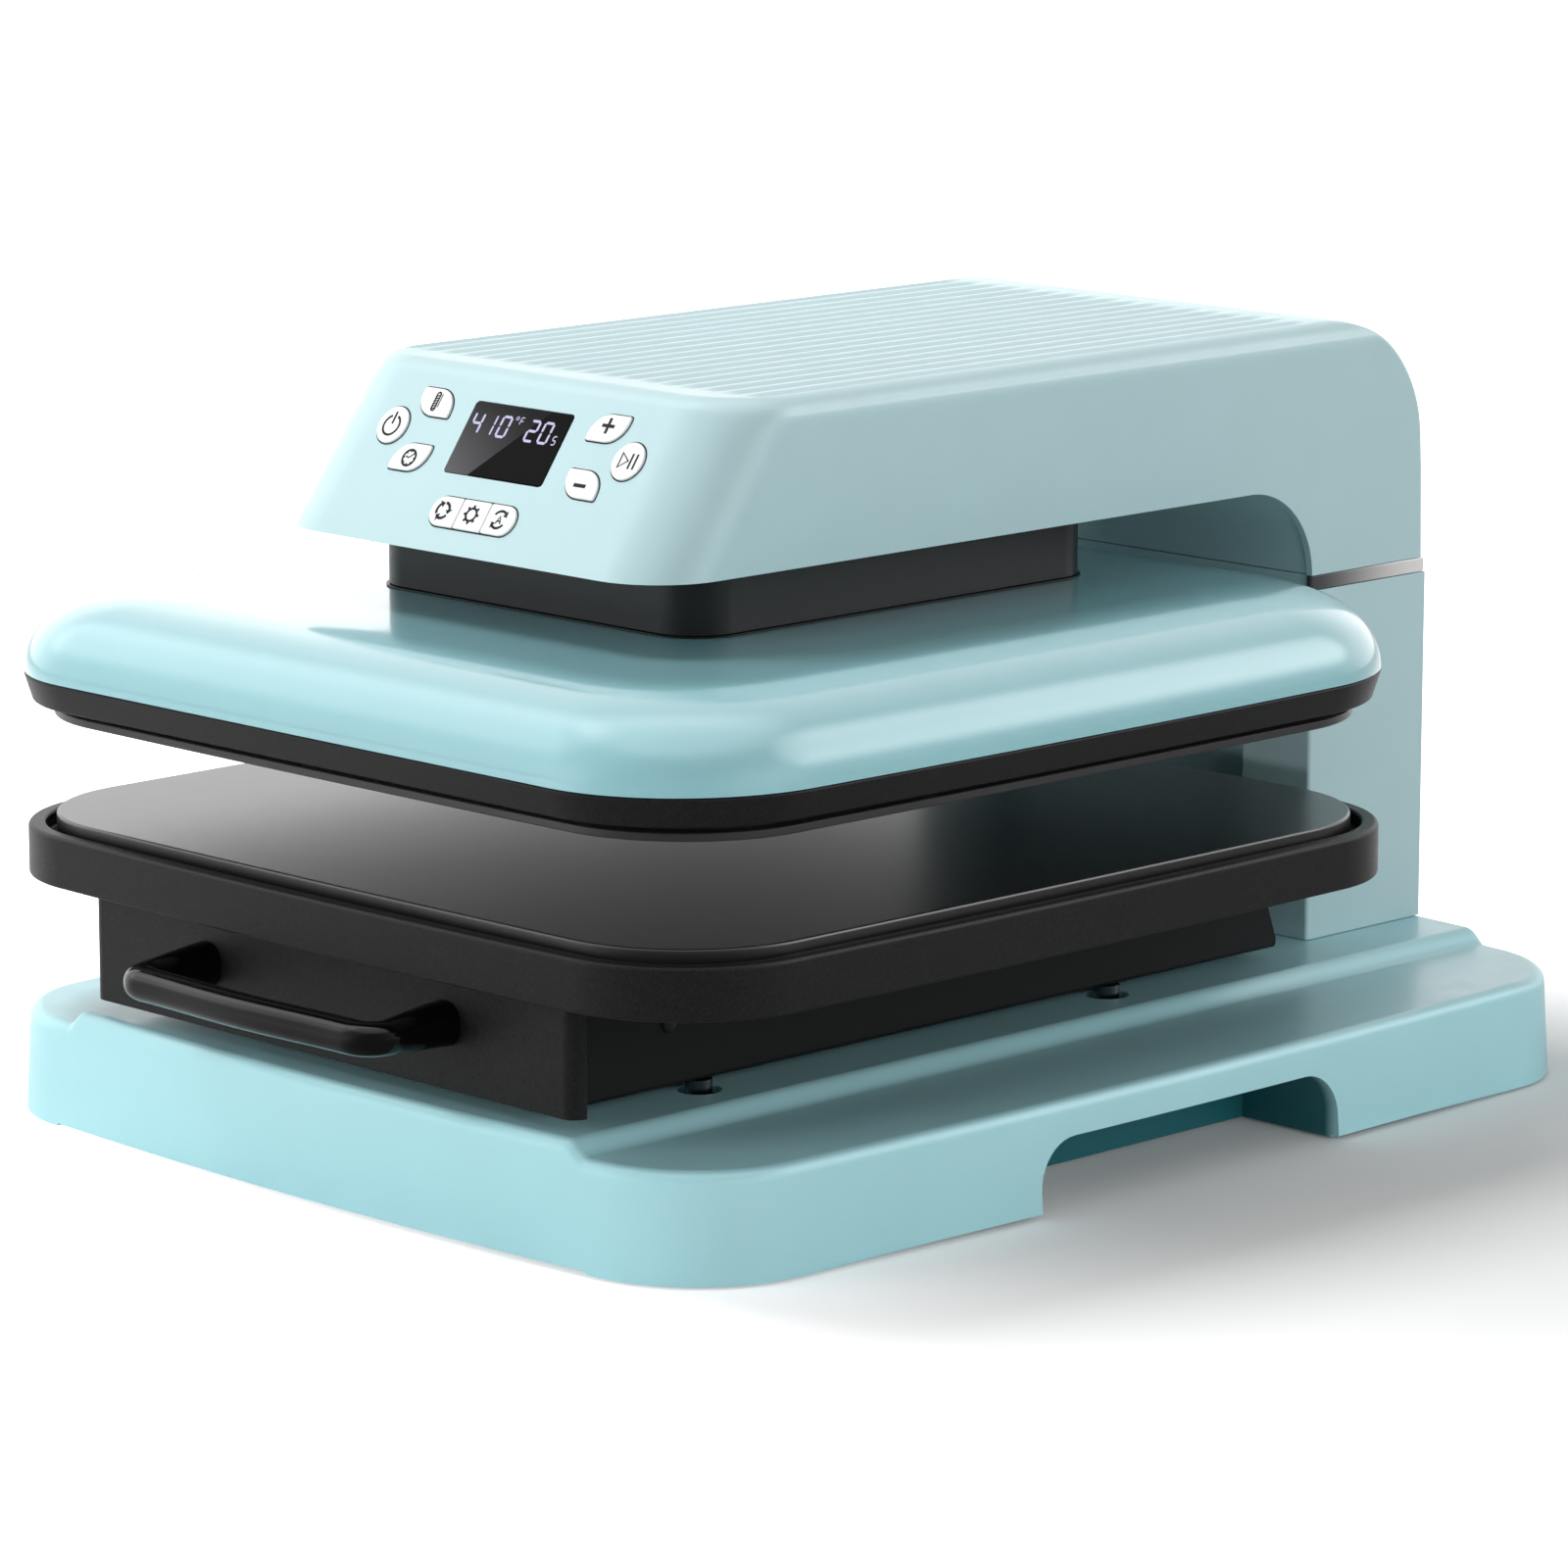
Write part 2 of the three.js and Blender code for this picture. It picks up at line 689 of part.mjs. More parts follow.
const sideNames = { "-1": "left", 1: "right" };
const endNames = { "-1": "front", 1: "back" };
for (const sideX of mirrorSides) {
  for (const sideY of mirrorSides) {
    const name = `${endNames[sideY]}_${sideNames[sideX]}`;
    const footX = sideX * footPlaceShares[0] * baseHalfWidth;
    const footY = sideY * footPlaceShares[1] * baseHalfDepth;
    place(`foot_${name}`, post(footRadius, footX, footY, 0, coverFloor - seatGap), rubber);
    const y = sideY < 0 ? postFrontY : postBackY;
    const collarTop = plateauUnderside - seatGap;
    const rod = post(postRadius, sideX * postX, y, postTailHeight, bedFloor - seatGap)
      .add(post(postCollarRadius, sideX * postX, y, collarTop - postCollarHeight, collarTop));
    place(`bed_post_${name}`, rod, silver);
    place(`post_spring_${name}`, tube(springInnerRadius + springWire, springInnerRadius, sideX * postX, y,
      baseFrameTop + seatGap, collarTop - postCollarHeight - seatGap), steel);
  }
}

// Bed channels and tie plate
function channelShape(side) {
  const outer = side * channelOuterX;
  const inner = side * (channelOuterX - channelWall);
  const flange = side * (channelOuterX - channelFlange);
  const points = [
    [outer, bedFloor], [outer, channelTop], [inner, channelTop], [inner, bedFloor + channelWall],
    [flange, bedFloor + channelWall], [flange, bedFloor],
  ];
  return polygon(side > 0 ? points : points.reverse());
}

function buildChannel(side) {
  const slantTop = channelTop + overrun;
  const cut = sidePrism(polygon([
    [channelBack, bedFloor], [channelBack + overrun, bedFloor], [channelBack + overrun, slantTop],
    [channelBack - channelBackSlant, slantTop],
  ]), -baseHalfWidth, baseHalfWidth);
  return frontPrism(channelShape(side), channelFront, channelBack).subtract(cut);
}

function runnerShape(side) {
  const outerX = channelOuterX - channelWall - runnerWallGap;
  const outer = side * outerX;
  const inner = side * (outerX - runnerSheet);
  const flange = side * (outerX - runnerTopFlange);
  const points = [
    [outer, runnerFloor], [outer, trayUnderGap], [flange, trayUnderGap], [flange, trayUnderGap - runnerSheet],
    [inner, trayUnderGap - runnerSheet], [inner, runnerFloor],
  ];
  return polygon(side > 0 ? points : points.reverse());
}

for (const side of mirrorSides) {
  place(`bed_channel_${sideNames[side]}`, buildChannel(side), blackMatte);
  const runnerFront = drawerFrontY + drawerSheet + seatGap;
  place(`drawer_runner_${sideNames[side]}`, frontPrism(runnerShape(side), runnerFront, runnerBack), steel);
}
const tieHalfWidth = channelOuterX - channelFlange - seatGap;
const tieDepth = [channelFront + tiePlateFrontSetback, channelBack - tiePlateBackSetback];
const tieHeight = [bedFloor, bedFloor + channelWall];
place("bed_tie_plate", box([-tieHalfWidth, tieHalfWidth], tieDepth, tieHeight), steel);

// Drawer front and handle
function buildDrawerFront() {
  const back = drawerFrontY + drawerFrontDepth;
  const corner = drawerFrontCorner;
  const body = planPrism(roundedShape(-drawerHalfWidth, drawerHalfWidth, drawerFrontY, back,
    [corner, corner, seatGap, seatGap]), bedFloor, trayUnderGap);
  const innerHalf = drawerHalfWidth - drawerSheet;
  const innerCorner = drawerFrontCorner - drawerSheet;
  const cavity = planPrism(roundedShape(-innerHalf, innerHalf, drawerFrontY + drawerSheet, back + overrun,
    [innerCorner, innerCorner, seatGap, seatGap]), bedFloor + drawerSheet, trayUnderGap + overrun);
  return body.subtract(cavity);
}

function buildHandle() {
  const wallY = drawerFrontY - seatGap;
  const barY = drawerFrontY - handleReach;
  const cornerX = handlePostX - handleCorner;
  const half = [
    [handlePostX, wallY, handlePostZ],
    [handlePostX, (wallY + barY + handleCorner) / 2, handlePostZ],
    [handlePostX, barY + handleCorner, (handlePostZ + handleBarZ) / 2],
    [cornerX + handleCorner * Math.SQRT1_2, barY + handleCorner * (1 - Math.SQRT1_2), handleBarZ],
    [cornerX, barY - handleBow / 4, handleBarZ],
    [cornerX / 2, barY - handleBow * 3 / 4, handleBarZ],
  ];
  const points = [
    ...half.map(([x, y, z]) => new THREE.Vector3(-x, y, z)),
    new THREE.Vector3(0, barY - handleBow, handleBarZ),
    ...half.reverse().map(([x, y, z]) => new THREE.Vector3(x, y, z)),
  ];
  const path = new THREE.CatmullRomCurve3(points, false, "centripetal");
  const up = new THREE.Vector3(0, 0, 1);
  const rings = [];
  for (let i = 0; i <= handleSteps; i += 1) {
    const atEnd = i === 0 || i === handleSteps;
    const centre = path.getPointAt(i / handleSteps);
    const ahead = path.getTangentAt(i / handleSteps).setZ(0).normalize();
    if (atEnd) ahead.set(0, i === 0 ? -1 : 1, 0);
    const across = up.clone().cross(ahead);
    const nearness = Math.max(0, 1 - (wallY - centre.y) / (handleReach - handleCorner));
    const halfDepth = handleHalfDepth + (handleFootRadius - handleHalfDepth) * nearness;
    const halfHeight = handleHalfHeight + (handleFootRadius - handleHalfHeight) * nearness;
    const ring = [];
    for (let j = 0; j < handleSectionSteps; j += 1) {
      const angle = 2 * Math.PI * j / handleSectionSteps;
      ring.push(centre.clone()
        .addScaledVector(across, halfDepth * Math.cos(angle))
        .addScaledVector(up, halfHeight * Math.sin(angle)));
    }
    rings.push(ring);
  }
  return loft(rings);
}

place("drawer_front", buildDrawerFront(), blackMetal);
place("drawer_handle", buildHandle(), blackGloss);

// Tray and pad
function buildTray() {
  let tray = loft([
    bowedRing(trayOutline, 0, trayFloor),
    ...edgeLevels(trayOutline, 0, trayEdge, trayTop),
  ]);
  tray = tray.subtract(slab(trayOutline, trayRim, trayBed, trayTop + overrun));
  const under = [trayFloor - overrun, trayFloor + trayUndercut];
  const depth = [trayFront + traySkirt * 2, trayBack - traySkirt * 2];
  const ribInner = channelOuterX - channelFlange - trayRibHalfWidth;
  const ribOuter = channelOuterX + trayRibHalfWidth / 2;
  tray = tray.subtract(box([-ribInner, ribInner], depth, under));
  for (const side of mirrorSides) {
    const pocketDepth = [trayFront + trayCornerReach, trayBack - trayCornerReach];
    tray = tray.subtract(box(sideSpan(side, ribOuter, trayHalfWidth - traySkirt), pocketDepth, under));
  }
  return tray;
}

const buildPad = () => loft([
  bowedRing(padOutline, 0, trayBed + seatGap),
  ...edgeLevels(padOutline, 0, padEdge, padTop, edgeSteps - 1),
]);

place("tray", buildTray(), blackMetal);
place("pad", buildPad(), padGrey);

// Upper platen
function buildHeatPlate() {
  const lipTop = heatPlateBottom + heatPlateLip;
  return slab(padOutline, 0, heatPlateBottom, lipTop)
    .add(slab(padOutline, heatPlateStep, lipTop - heatPlateLip / 2, heatPlateTop));
}

function buildPlatenRim() {
  const outer = loft([
    bowedRing(platenOutline, platenRimTaper, platenRimBottom),
    bowedRing(platenOutline, 0, platenRimTop),
  ]);
  return outer.subtract(
    slab(padOutline, heatPlateStep - seatGap, platenRimBottom - overrun, platenRimTop + overrun));
}

function domeBody(inset, low) {
  const rings = [bowedRing(platenOutline, inset, low)];
  for (let i = 0; i <= domeSteps; i += 1) {
    const angle = Math.PI / 2 * i / domeSteps;
    const shift = inset + platenDomeReach * (1 - Math.cos(angle));
    rings.push(bowedRing(platenOutline, shift, domeBase - inset + platenDomeHeight * Math.sin(angle)));
  }
  rings.push(bowedRing(platenOutline, platenCrownReach, crownTop - inset));
  return loft(inset > 0 ? rings : rings.slice(1));
}

const yokeLegPlaces = mirrorSides.flatMap((side) => [
  [side * yokeLegX, yokeLegFrontY], [side * yokeLegX, yokeLegBackY],
]);

function yokeLegs(grow, low, high) {
  const half = yokeLegHalf + grow;
  return yokeLegPlaces
    .map(([x, y]) => box([x - half, x + half], [y - half, y + half], [low, high]))
    .reduce((all, leg) => all.add(leg));
}

function buildPlatenCover() {
  const opening = box([-yokeHalfWidth, yokeHalfWidth], [yokeFront, yokeBack], [domeBase, crownTop + overrun]);
  return domeBody(0, domeBase)
    .subtract(domeBody(platenCoverWall, domeBase - platenCoverWall - overrun))
    .subtract(opening);
}

function buildInsulation() {
  return slab(padOutline, insulationInset, heatPlateTop + seatGap, insulationTop)
    .subtract(yokeLegs(seatGap, heatPlateTop, insulationTop + overrun));
}

place("heat_plate", buildHeatPlate(), steel);
place("platen_rim", buildPlatenRim(), blackMetal);
place("insulation", buildInsulation(), wool);
place("platen_cover", buildPlatenCover(), glossTeal);

// Neck skirts
function neckRing(grow, low, high) {
  const corner = neckCorner + grow;
  const radii = [corner, corner, corner, corner];
  return planPrism(roundedShape(
    -neckHalfWidth - grow, neckHalfWidth + grow, neckFront - grow, neckBack + grow, radii), low, high);
}

function buildOuterNeck() {
  const flangeBottom = headBottom + undersideRecess + undersideThickness + seatGap;
  return neckRing(0, crownTop + neckCoverGap, neckTop)
    .add(neckRing(neckFlange, flangeBottom, flangeBottom + neckFlangeHeight))
    .subtract(neckRing(-neckWall, crownTop - overrun, neckTop + overrun));
}

function buildInnerNeck() {
  const skirt = -neckWall - runningGap;
  return neckRing(skirt, crownTop + seatGap, innerNeckTop)
    .subtract(neckRing(skirt - innerNeckWall, crownTop - overrun, innerNeckTop + overrun));
}

place("neck_outer_skirt", buildOuterNeck(), blackMatte);
place("neck_inner_skirt", buildInnerNeck(), blackMatte);

// Press yoke, nut, screw, bearing and guide rods
function buildYoke() {
  const plateTop = yokePlateBottom + yokePlateThickness;
  const corner = innerNeckCorner - innerNeckWall;
  let yoke = planPrism(roundedShape(-yokeHalfWidth, yokeHalfWidth, yokeFront, yokeBack,
    [corner, corner, corner, corner]), yokePlateBottom, plateTop);
  yoke = yoke.add(yokeLegs(0, heatPlateTop + seatGap, plateTop - yokePlateThickness / 2));
  const hole = (radius, x, y) =>
    post(radius, x, y, yokePlateBottom - overrun, plateTop + overrun);
  yoke = yoke.subtract(hole(screwRadius + runningGap, 0, screwY));
  yoke = yoke.subtract(hole(motorRadius + motorHoleGap, 0, motorY));
  for (const side of mirrorSides) yoke = yoke.subtract(hole(rodRadius + runningGap, side * rodX, screwY));
  return yoke;
}

place("press_yoke", buildYoke(), steel);
place("lead_nut", tube(nutRadius, screwRadius + runningGap, 0, screwY,
  yokePlateBottom - seatGap - nutHeight, yokePlateBottom - seatGap), brass);
place("lead_screw", post(screwRadius, 0, screwY, screwBottom, gearTop + screwHeadRise), steel);
place("screw_bearing", tube(bearingRadius, screwRadius + runningGap, 0, screwY,
  headFrameBottom - seatGap - bearingHeight, headFrameBottom - seatGap), steel);
for (const side of mirrorSides) {
  place(`guide_rod_${sideNames[side]}`,
    post(rodRadius, side * rodX, screwY, rodBottom, headFrameBottom - seatGap), silver);
}

// Gears: teeth are thinned so that they run with backlash
function gearShape(teeth, boreRadius, phase) {
  const pitchRadius = gearModule * teeth / 2;
  const tip = pitchRadius + toothRise;
  const root = pitchRadius - toothFall;
  const half = Math.PI / teeth;
  const points = [];
  for (let i = 0; i < teeth; i += 1) {
    const middle = 2 * Math.PI * (i + phase) / teeth;
    const corners = [
      [root, -toothRootShare], [tip, -toothTipShare], [tip, toothTipShare], [root, toothRootShare],
    ];
    for (const [radius, share] of corners) {
      const angle = middle + share * half;
      points.push(new THREE.Vector2(radius * Math.cos(angle), radius * Math.sin(angle)));
    }
  }
  const shape = new THREE.Shape(points);
  if (boreRadius > 0) shape.holes.push(discShape(0, 0, boreRadius));
  return shape;
}

const screwGearPhase = screwGearTeeth % 4 / 4;
const pinionPhase = 1 / 2 - pinionTeeth % 4 / 4;
place("screw_gear", planPrism(gearShape(screwGearTeeth, screwRadius + seatGap, -screwGearPhase),
  gearBottom, gearTop), gearWhite, new THREE.Matrix4().makeTranslation(0, screwY, 0));
place("motor_pinion", planPrism(gearShape(pinionTeeth, 0, pinionPhase), gearBottom, gearTop)
  .add(post(pinionShaftRadius, 0, 0, headFrameBottom, gearTop, arcSteps)), steel,
new THREE.Matrix4().makeTranslation(0, motorY, 0));
place("drive_motor", post(motorRadius, 0, motorY,
  headFrameBottom - seatGap - motorHeight, headFrameBottom - seatGap), blackMatte);

// Steel frames
function buildColumnFrame() {
  const half = columnFrameHalfWidth;
  const sheet = columnFrameSheet;
  const front = columnFrameFront;
  const back = columnFrameBack;
  const frame = planPrism(polygon([
    [-half, front], [-half + sheet, front], [-half + sheet, back - sheet], [half - sheet, back - sheet],
    [half - sheet, front], [half, front], [half, back], [-half, back],
  ]), baseFrameTop + seatGap, headFrameBottom - seatGap);
  return frame.subtract(box(
    [inletX - inletHalfWidth - frameOpeningGap, inletX + inletHalfWidth + frameOpeningGap],
    [back - sheet - overrun, back + overrun],
    [inletZ - inletHalfHeight - frameOpeningGap, inletZ + inletHalfHeight + frameOpeningGap]));
}

function buildHeadFrame() {
  const half = columnFrameHalfWidth;
  const sheet = columnFrameSheet;
  const frame = frontPrism(polygon([
    [-half, headFrameBottom], [half, headFrameBottom], [half, headFrameTop + headFrameFlangeHeight],
    [half - sheet, headFrameTop + headFrameFlangeHeight], [half - sheet, headFrameTop],
    [-half + sheet, headFrameTop], [-half + sheet, headFrameTop + headFrameFlangeHeight],
    [-half, headFrameTop + headFrameFlangeHeight],
  ]), headFrameFront, headFrameBack);
  const hole = (radius, y) => post(radius, 0, y, headFrameBottom - overrun, headFrameTop + overrun);
  return frame
    .subtract(hole(screwRadius + runningGap, screwY))
    .subtract(hole(pinionShaftRadius + runningGap, motorY));
}

place("column_frame", buildColumnFrame(), steel);
place("head_frame", buildHeadFrame(), steel);

// Column shell, rear cover and trim strip
function buildColumnShell() {
  const half = columnHalfWidth;
  const inner = half - columnWall;
  const recess = columnRecessHalfWidth;
  const recessFront = columnFront + columnRecessDepth;
  const shape = polygon([
    [-half, columnBack], [-half, columnFront + columnEdge], [-half + columnEdge, columnFront],
    [-recess, columnFront], [-recess, recessFront], [recess, recessFront], [recess, columnFront],
    [half - columnEdge, columnFront], [half, columnFront + columnEdge], [half, columnBack],
    [inner, columnBack], [inner, columnFront + columnWall], [recess + columnWall, columnFront + columnWall],
    [recess + columnWall, recessFront + columnWall], [-recess - columnWall, recessFront + columnWall],
    [-recess - columnWall, columnFront + columnWall], [-inner, columnFront + columnWall],
    [-inner, columnBack],
  ]);
  return planPrism(shape, plateauHeight + seatGap, columnTop);
}

function buildRearCover() {
  const half = columnHalfWidth - columnWall - seatGap;
  let cover = box([-half, half], [columnBack - columnWall, columnBack], [plateauHeight + seatGap, columnTop]);
  const through = [columnBack - columnWall - overrun, columnBack + overrun];
  for (let i = 0; i < ventCount; i += 1) {
    const low = ventBottom + i * ventPitch;
    cover = cover.subtract(box([-ventHalfWidth, ventHalfWidth], through, [low, low + ventSlot]));
  }
  const gap = seatGap;
  return cover.subtract(box(
    [inletX - inletHalfWidth - gap, inletX + inletHalfWidth + gap], through,
    [inletZ - inletHalfHeight - gap, inletZ + inletHalfHeight + gap]));
}

function buildTrimStrip() {
  const edge = columnEdge;
  const outer = planPrism(roundedShape(-columnHalfWidth, columnHalfWidth, columnFront, columnBack,
    [edge, edge, edge, edge]), stripBottom, stripTop);
  return outer.subtract(box(
    [-columnHalfWidth + stripInset, columnHalfWidth - stripInset],
    [columnFront + stripInset, columnBack - stripInset + seatGap], [columnTop, headTop]));
}

place("column_shell", buildColumnShell(), teal);
place("rear_cover", buildRearCover(), teal);
place("trim_strip", buildTrimStrip(), silver);

// Head casing
function headRing(z, inset) {
  const rise = Math.max(z - headBottom, 0);
  const sideArc = Math.max(z - (headTop - inset) + headSideEdge, 0);
  const frontArc = Math.max(z - (headTop - inset) + headFrontEdge, 0);
  const rearArc = Math.max(z + inset - rearArcHeight, 0);
  const round = (radius, climb) => radius - Math.sqrt(Math.max(radius * radius - climb * climb, 0));
  const heightShare = rise / (headTop - headBottom);
  const sideShift = round(headSideEdge, Math.min(sideArc, headSideEdge));
  const halfX = headHalfWidth - headSideDraft * heightShare - sideShift - inset;
  const front = headFront + rise * Math.tan(headLean) + inset / Math.cos(headLean)
    + round(headFrontEdge, Math.min(frontArc, headFrontEdge));
  const leanShare = Math.min((z - legBottom) / (rearArcHeight - legBottom), 1);
  const back = columnBack - headRearLean * Math.max(leanShare, 0) - inset
    - round(headRearRadius, Math.min(rearArc, headRearRadius));
  const cornerHere = headFrontCorner + (headFrontCornerTop - headFrontCorner) * heightShare;
  const frontCorner = Math.max(cornerHere - inset - sideShift, headRearCorner);
  const rearCorner = Math.max(headRearCorner - inset, seatGap);
  const ring = [];
  const corners = [
    [halfX - rearCorner, back - rearCorner, rearCorner, 0, edgeSteps],
    [-halfX + rearCorner, back - rearCorner, rearCorner, 1, edgeSteps],
    [-halfX + frontCorner, front + frontCorner, frontCorner, 2, cornerSteps],
    [halfX - frontCorner, front + frontCorner, frontCorner, 3, cornerSteps],
  ];
  for (const [x, y, radius, quarter, steps] of corners) {
    for (let i = 0; i <= steps; i += 1) {
      const angle = Math.PI / 2 * (quarter + i / steps);
      ring.push(new THREE.Vector3(x + radius * Math.cos(angle), y + radius * Math.sin(angle), z));
    }
  }
  return ring;
}

function headBody(inset, low) {
  const top = headTop - inset;
  const levels = [low, headBottom, rearArcHeight];
  for (let i = 1; i < rearArcSteps; i += 1) {
    levels.push(rearArcHeight + headRearRadius * Math.sin(Math.PI / 2 * i / rearArcSteps) - inset);
  }
  for (let i = 1; i <= edgeSteps; i += 1) {
    levels.push(top - headSideEdge + headSideEdge * Math.sin(Math.PI / 2 * i / edgeSteps));
  }
  levels.sort((a, b) => a - b);
  const spaced = levels.filter((z, i) => i === 0 || z - levels[i - 1] > seatGap);
  return loft(spaced.map((z) => headRing(z, inset)));
}

function archShape(grow) {
  const radius = archRadius + grow;
  const far = -baseHalfDepth - overrun;
  const low = archCentreZ - overrun;
  return polygon([
    [far, low], [archCentreY + radius, low],
    ...arcPoints(archCentreY, archCentreZ, radius, 0, Math.PI / 2, arcSteps + edgeSteps),
    [far, headBottom + grow],
  ]);
}

const panelMatrix = new THREE.Matrix4()
  .makeRotationX(-headLean)
  .setPosition(0, headFront, headBottom);

// In panel places x runs to the right, depth runs into the head and rise runs up the slanted face
function panelPrism(shape, nearDepth, farDepth, matrix = panelMatrix) {
  const geometry = new THREE.ExtrudeGeometry(shape, { depth: farDepth - nearDepth, bevelEnabled: false });
  geometry.applyMatrix4(alongMinusY);
  geometry.translate(0, farDepth, 0);
  geometry.applyMatrix4(matrix);
  return solidOf(geometry);
}

function leafShape(x, rise, side, grow) {
  const sharp = leafKeySharp + grow;
  const round = leafKeyRound + grow;
  const radii = side > 0 ? [sharp, round, sharp, round] : [round, sharp, round, sharp];
  return roundedShape(x - leafKeyHalfWidth - grow, x + leafKeyHalfWidth + grow,
    rise - leafKeyHalfHeight - grow, rise + leafKeyHalfHeight + grow, radii);
}

function pillShape(left, right, grow) {
  const end = pillHalfHeight + grow - seatGap / 2;
  const small = leafKeySharp;
  const isLeft = left <= -pillHalfLength;
  const isRight = right >= pillHalfLength;
  const radii = [isLeft ? end : small, isRight ? end : small, isRight ? end : small, isLeft ? end : small];
  return roundedShape(left - (isLeft ? grow : 0), right + (isRight ? grow : 0),
    pillRise - pillHalfHeight - grow, pillRise + pillHalfHeight + grow, radii);
}

const splitHalf = pillSplit - seatGap / 2;
const keys = {
  key_power: (grow) => discShape(-roundKeyX, roundKeyRise, roundKeyRadius + grow),
  key_start_pause: (grow) => discShape(roundKeyX, roundKeyRise, roundKeyRadius + grow),
  key_temperature: (grow) => leafShape(-leafKeyX, leafKeyHighRise, -1, grow),
  key_timer: (grow) => leafShape(-leafKeyX, leafKeyLowRise, 1, grow),
  key_plus: (grow) => leafShape(leafKeyX, leafKeyHighRise, 1, grow),
  key_minus: (grow) => leafShape(leafKeyX, leafKeyLowRise, -1, grow),
  key_mode_left: (grow) => pillShape(-pillHalfLength, -pillSplit - seatGap / 2, grow),
  key_mode_middle: (grow) => pillShape(-splitHalf, splitHalf, grow),
  key_mode_right: (grow) => pillShape(pillSplit + seatGap / 2, pillHalfLength, grow),
};

const displayShape = (grow) => roundedShape(-displayHalfWidth - grow, displayHalfWidth + grow,
  displayRise - displayHalfHeight - grow, displayRise + displayHalfHeight + grow,
  Array(4).fill(displayCorner + grow));

const keyBack = keyDepth;
const boardNear = keyBack + keyTravel + seatGap;

function buildHeadCasing() {
  let casing = headBody(0, legBottom).subtract(headBody(headWall, legBottom - overrun));
  casing = casing.subtract(sidePrism(archShape(0), -headHalfWidth - overrun, headHalfWidth + overrun));
  for (const build of Object.values(keys)) {
    casing = casing.subtract(panelPrism(build(seatGap), -overrun, headWall + seatGap));
  }
  for (const opening of [displayShape(seatGap), pillShape(-pillHalfLength, pillHalfLength, seatGap)]) {
    casing = casing.subtract(panelPrism(opening, -overrun, headWall + seatGap));
  }
  const grooveStart = headTopFront + ribFrontMargin;
  const grooveEnd = rearArcCentreY - ribBackMargin;
  for (let i = 0; i < ribGrooveCount; i += 1) {
    const x = (i - (ribGrooveCount - 1) / 2) * ribPitch;
    casing = casing.subtract(frontPrism(polygon([
      [x, headTop - ribGrooveDepth], [x + ribGrooveWidth, headTop + ribGrooveDepth],
      [x - ribGrooveWidth, headTop + ribGrooveDepth],
    ]), grooveStart, grooveEnd));
  }
  const bossLow = headFrameTop + seatGap;
  for (const side of mirrorSides) {
    for (const y of [headBossFrontY, headBossBackY]) {
      casing = casing.add(post(
        headBossRadius, side * headBossX, y, bossLow, headTop - headWall + seatGap, arcSteps));
    }
    casing = casing.add(panelPrism(
      discShape(side * boardBossX, boardBossRise, boardBossRadius), headWall / 2, boardNear - seatGap));
  }
  return casing;
}

function buildUnderside() {
  const lower = archShape(undersideRecess);
  const upper = archShape(undersideRecess + undersideThickness);
  const wide = [-headHalfWidth, headHalfWidth];
  const inside = headBody(headWall + seatGap, legBottom + seatGap);
  return sidePrism(upper, ...wide)
    .subtract(sidePrism(lower, -headHalfWidth - overrun, headHalfWidth + overrun))
    .intersect(inside)
    .subtract(neckRing(seatGap, legBottom, headTop));
}

function buildKey(shape) {
  const flat = new THREE.Matrix4();
  return panelPrism(shape(0), -keyProud, keyBack, flat)
    .add(panelPrism(shape(keyFlange), keyBack - keyFlangeThickness, keyBack, flat));
}

place("head_casing", buildHeadCasing(), teal);
place("head_underside", buildUnderside(), teal);
place("display_window", panelPrism(displayShape(0), -displayProud, displayDepth), blackGloss);
place("control_board", panelPrism(squareShape(-boardHalfWidth, boardHalfWidth,
  boardLowShare * panelLength, boardHighShare * panelLength),
  boardNear, boardNear + boardThickness), boardGreen);
for (const [name, shape] of Object.entries(keys)) place(name, buildKey(shape), whiteKey, panelMatrix);

// Power board, mains inlet and rocker switch
function buildPowerBoard() {
  const back = columnFrameBack - columnFrameSheet - seatGap;
  const face = back - boardThickness;
  let board = box([-powerBoardHalfWidth, powerBoardHalfWidth], [face, back],
    [powerBoardBottom, powerBoardTop]);
  const middle = (powerBoardBottom + powerBoardTop - partHeight) / 2;
  for (const side of mirrorSides) {
    const x = side * powerBoardHalfWidth / 2;
    board = board.add(box([x - partHalfWidth, x + partHalfWidth],
      [face - partDepth, face + boardThickness / 2], [middle, middle + partHeight]));
  }
  return board;
}

const rockerX = inletX + rockerOffset;
const rockerPivotY = columnBack - rockerPivotDepth;

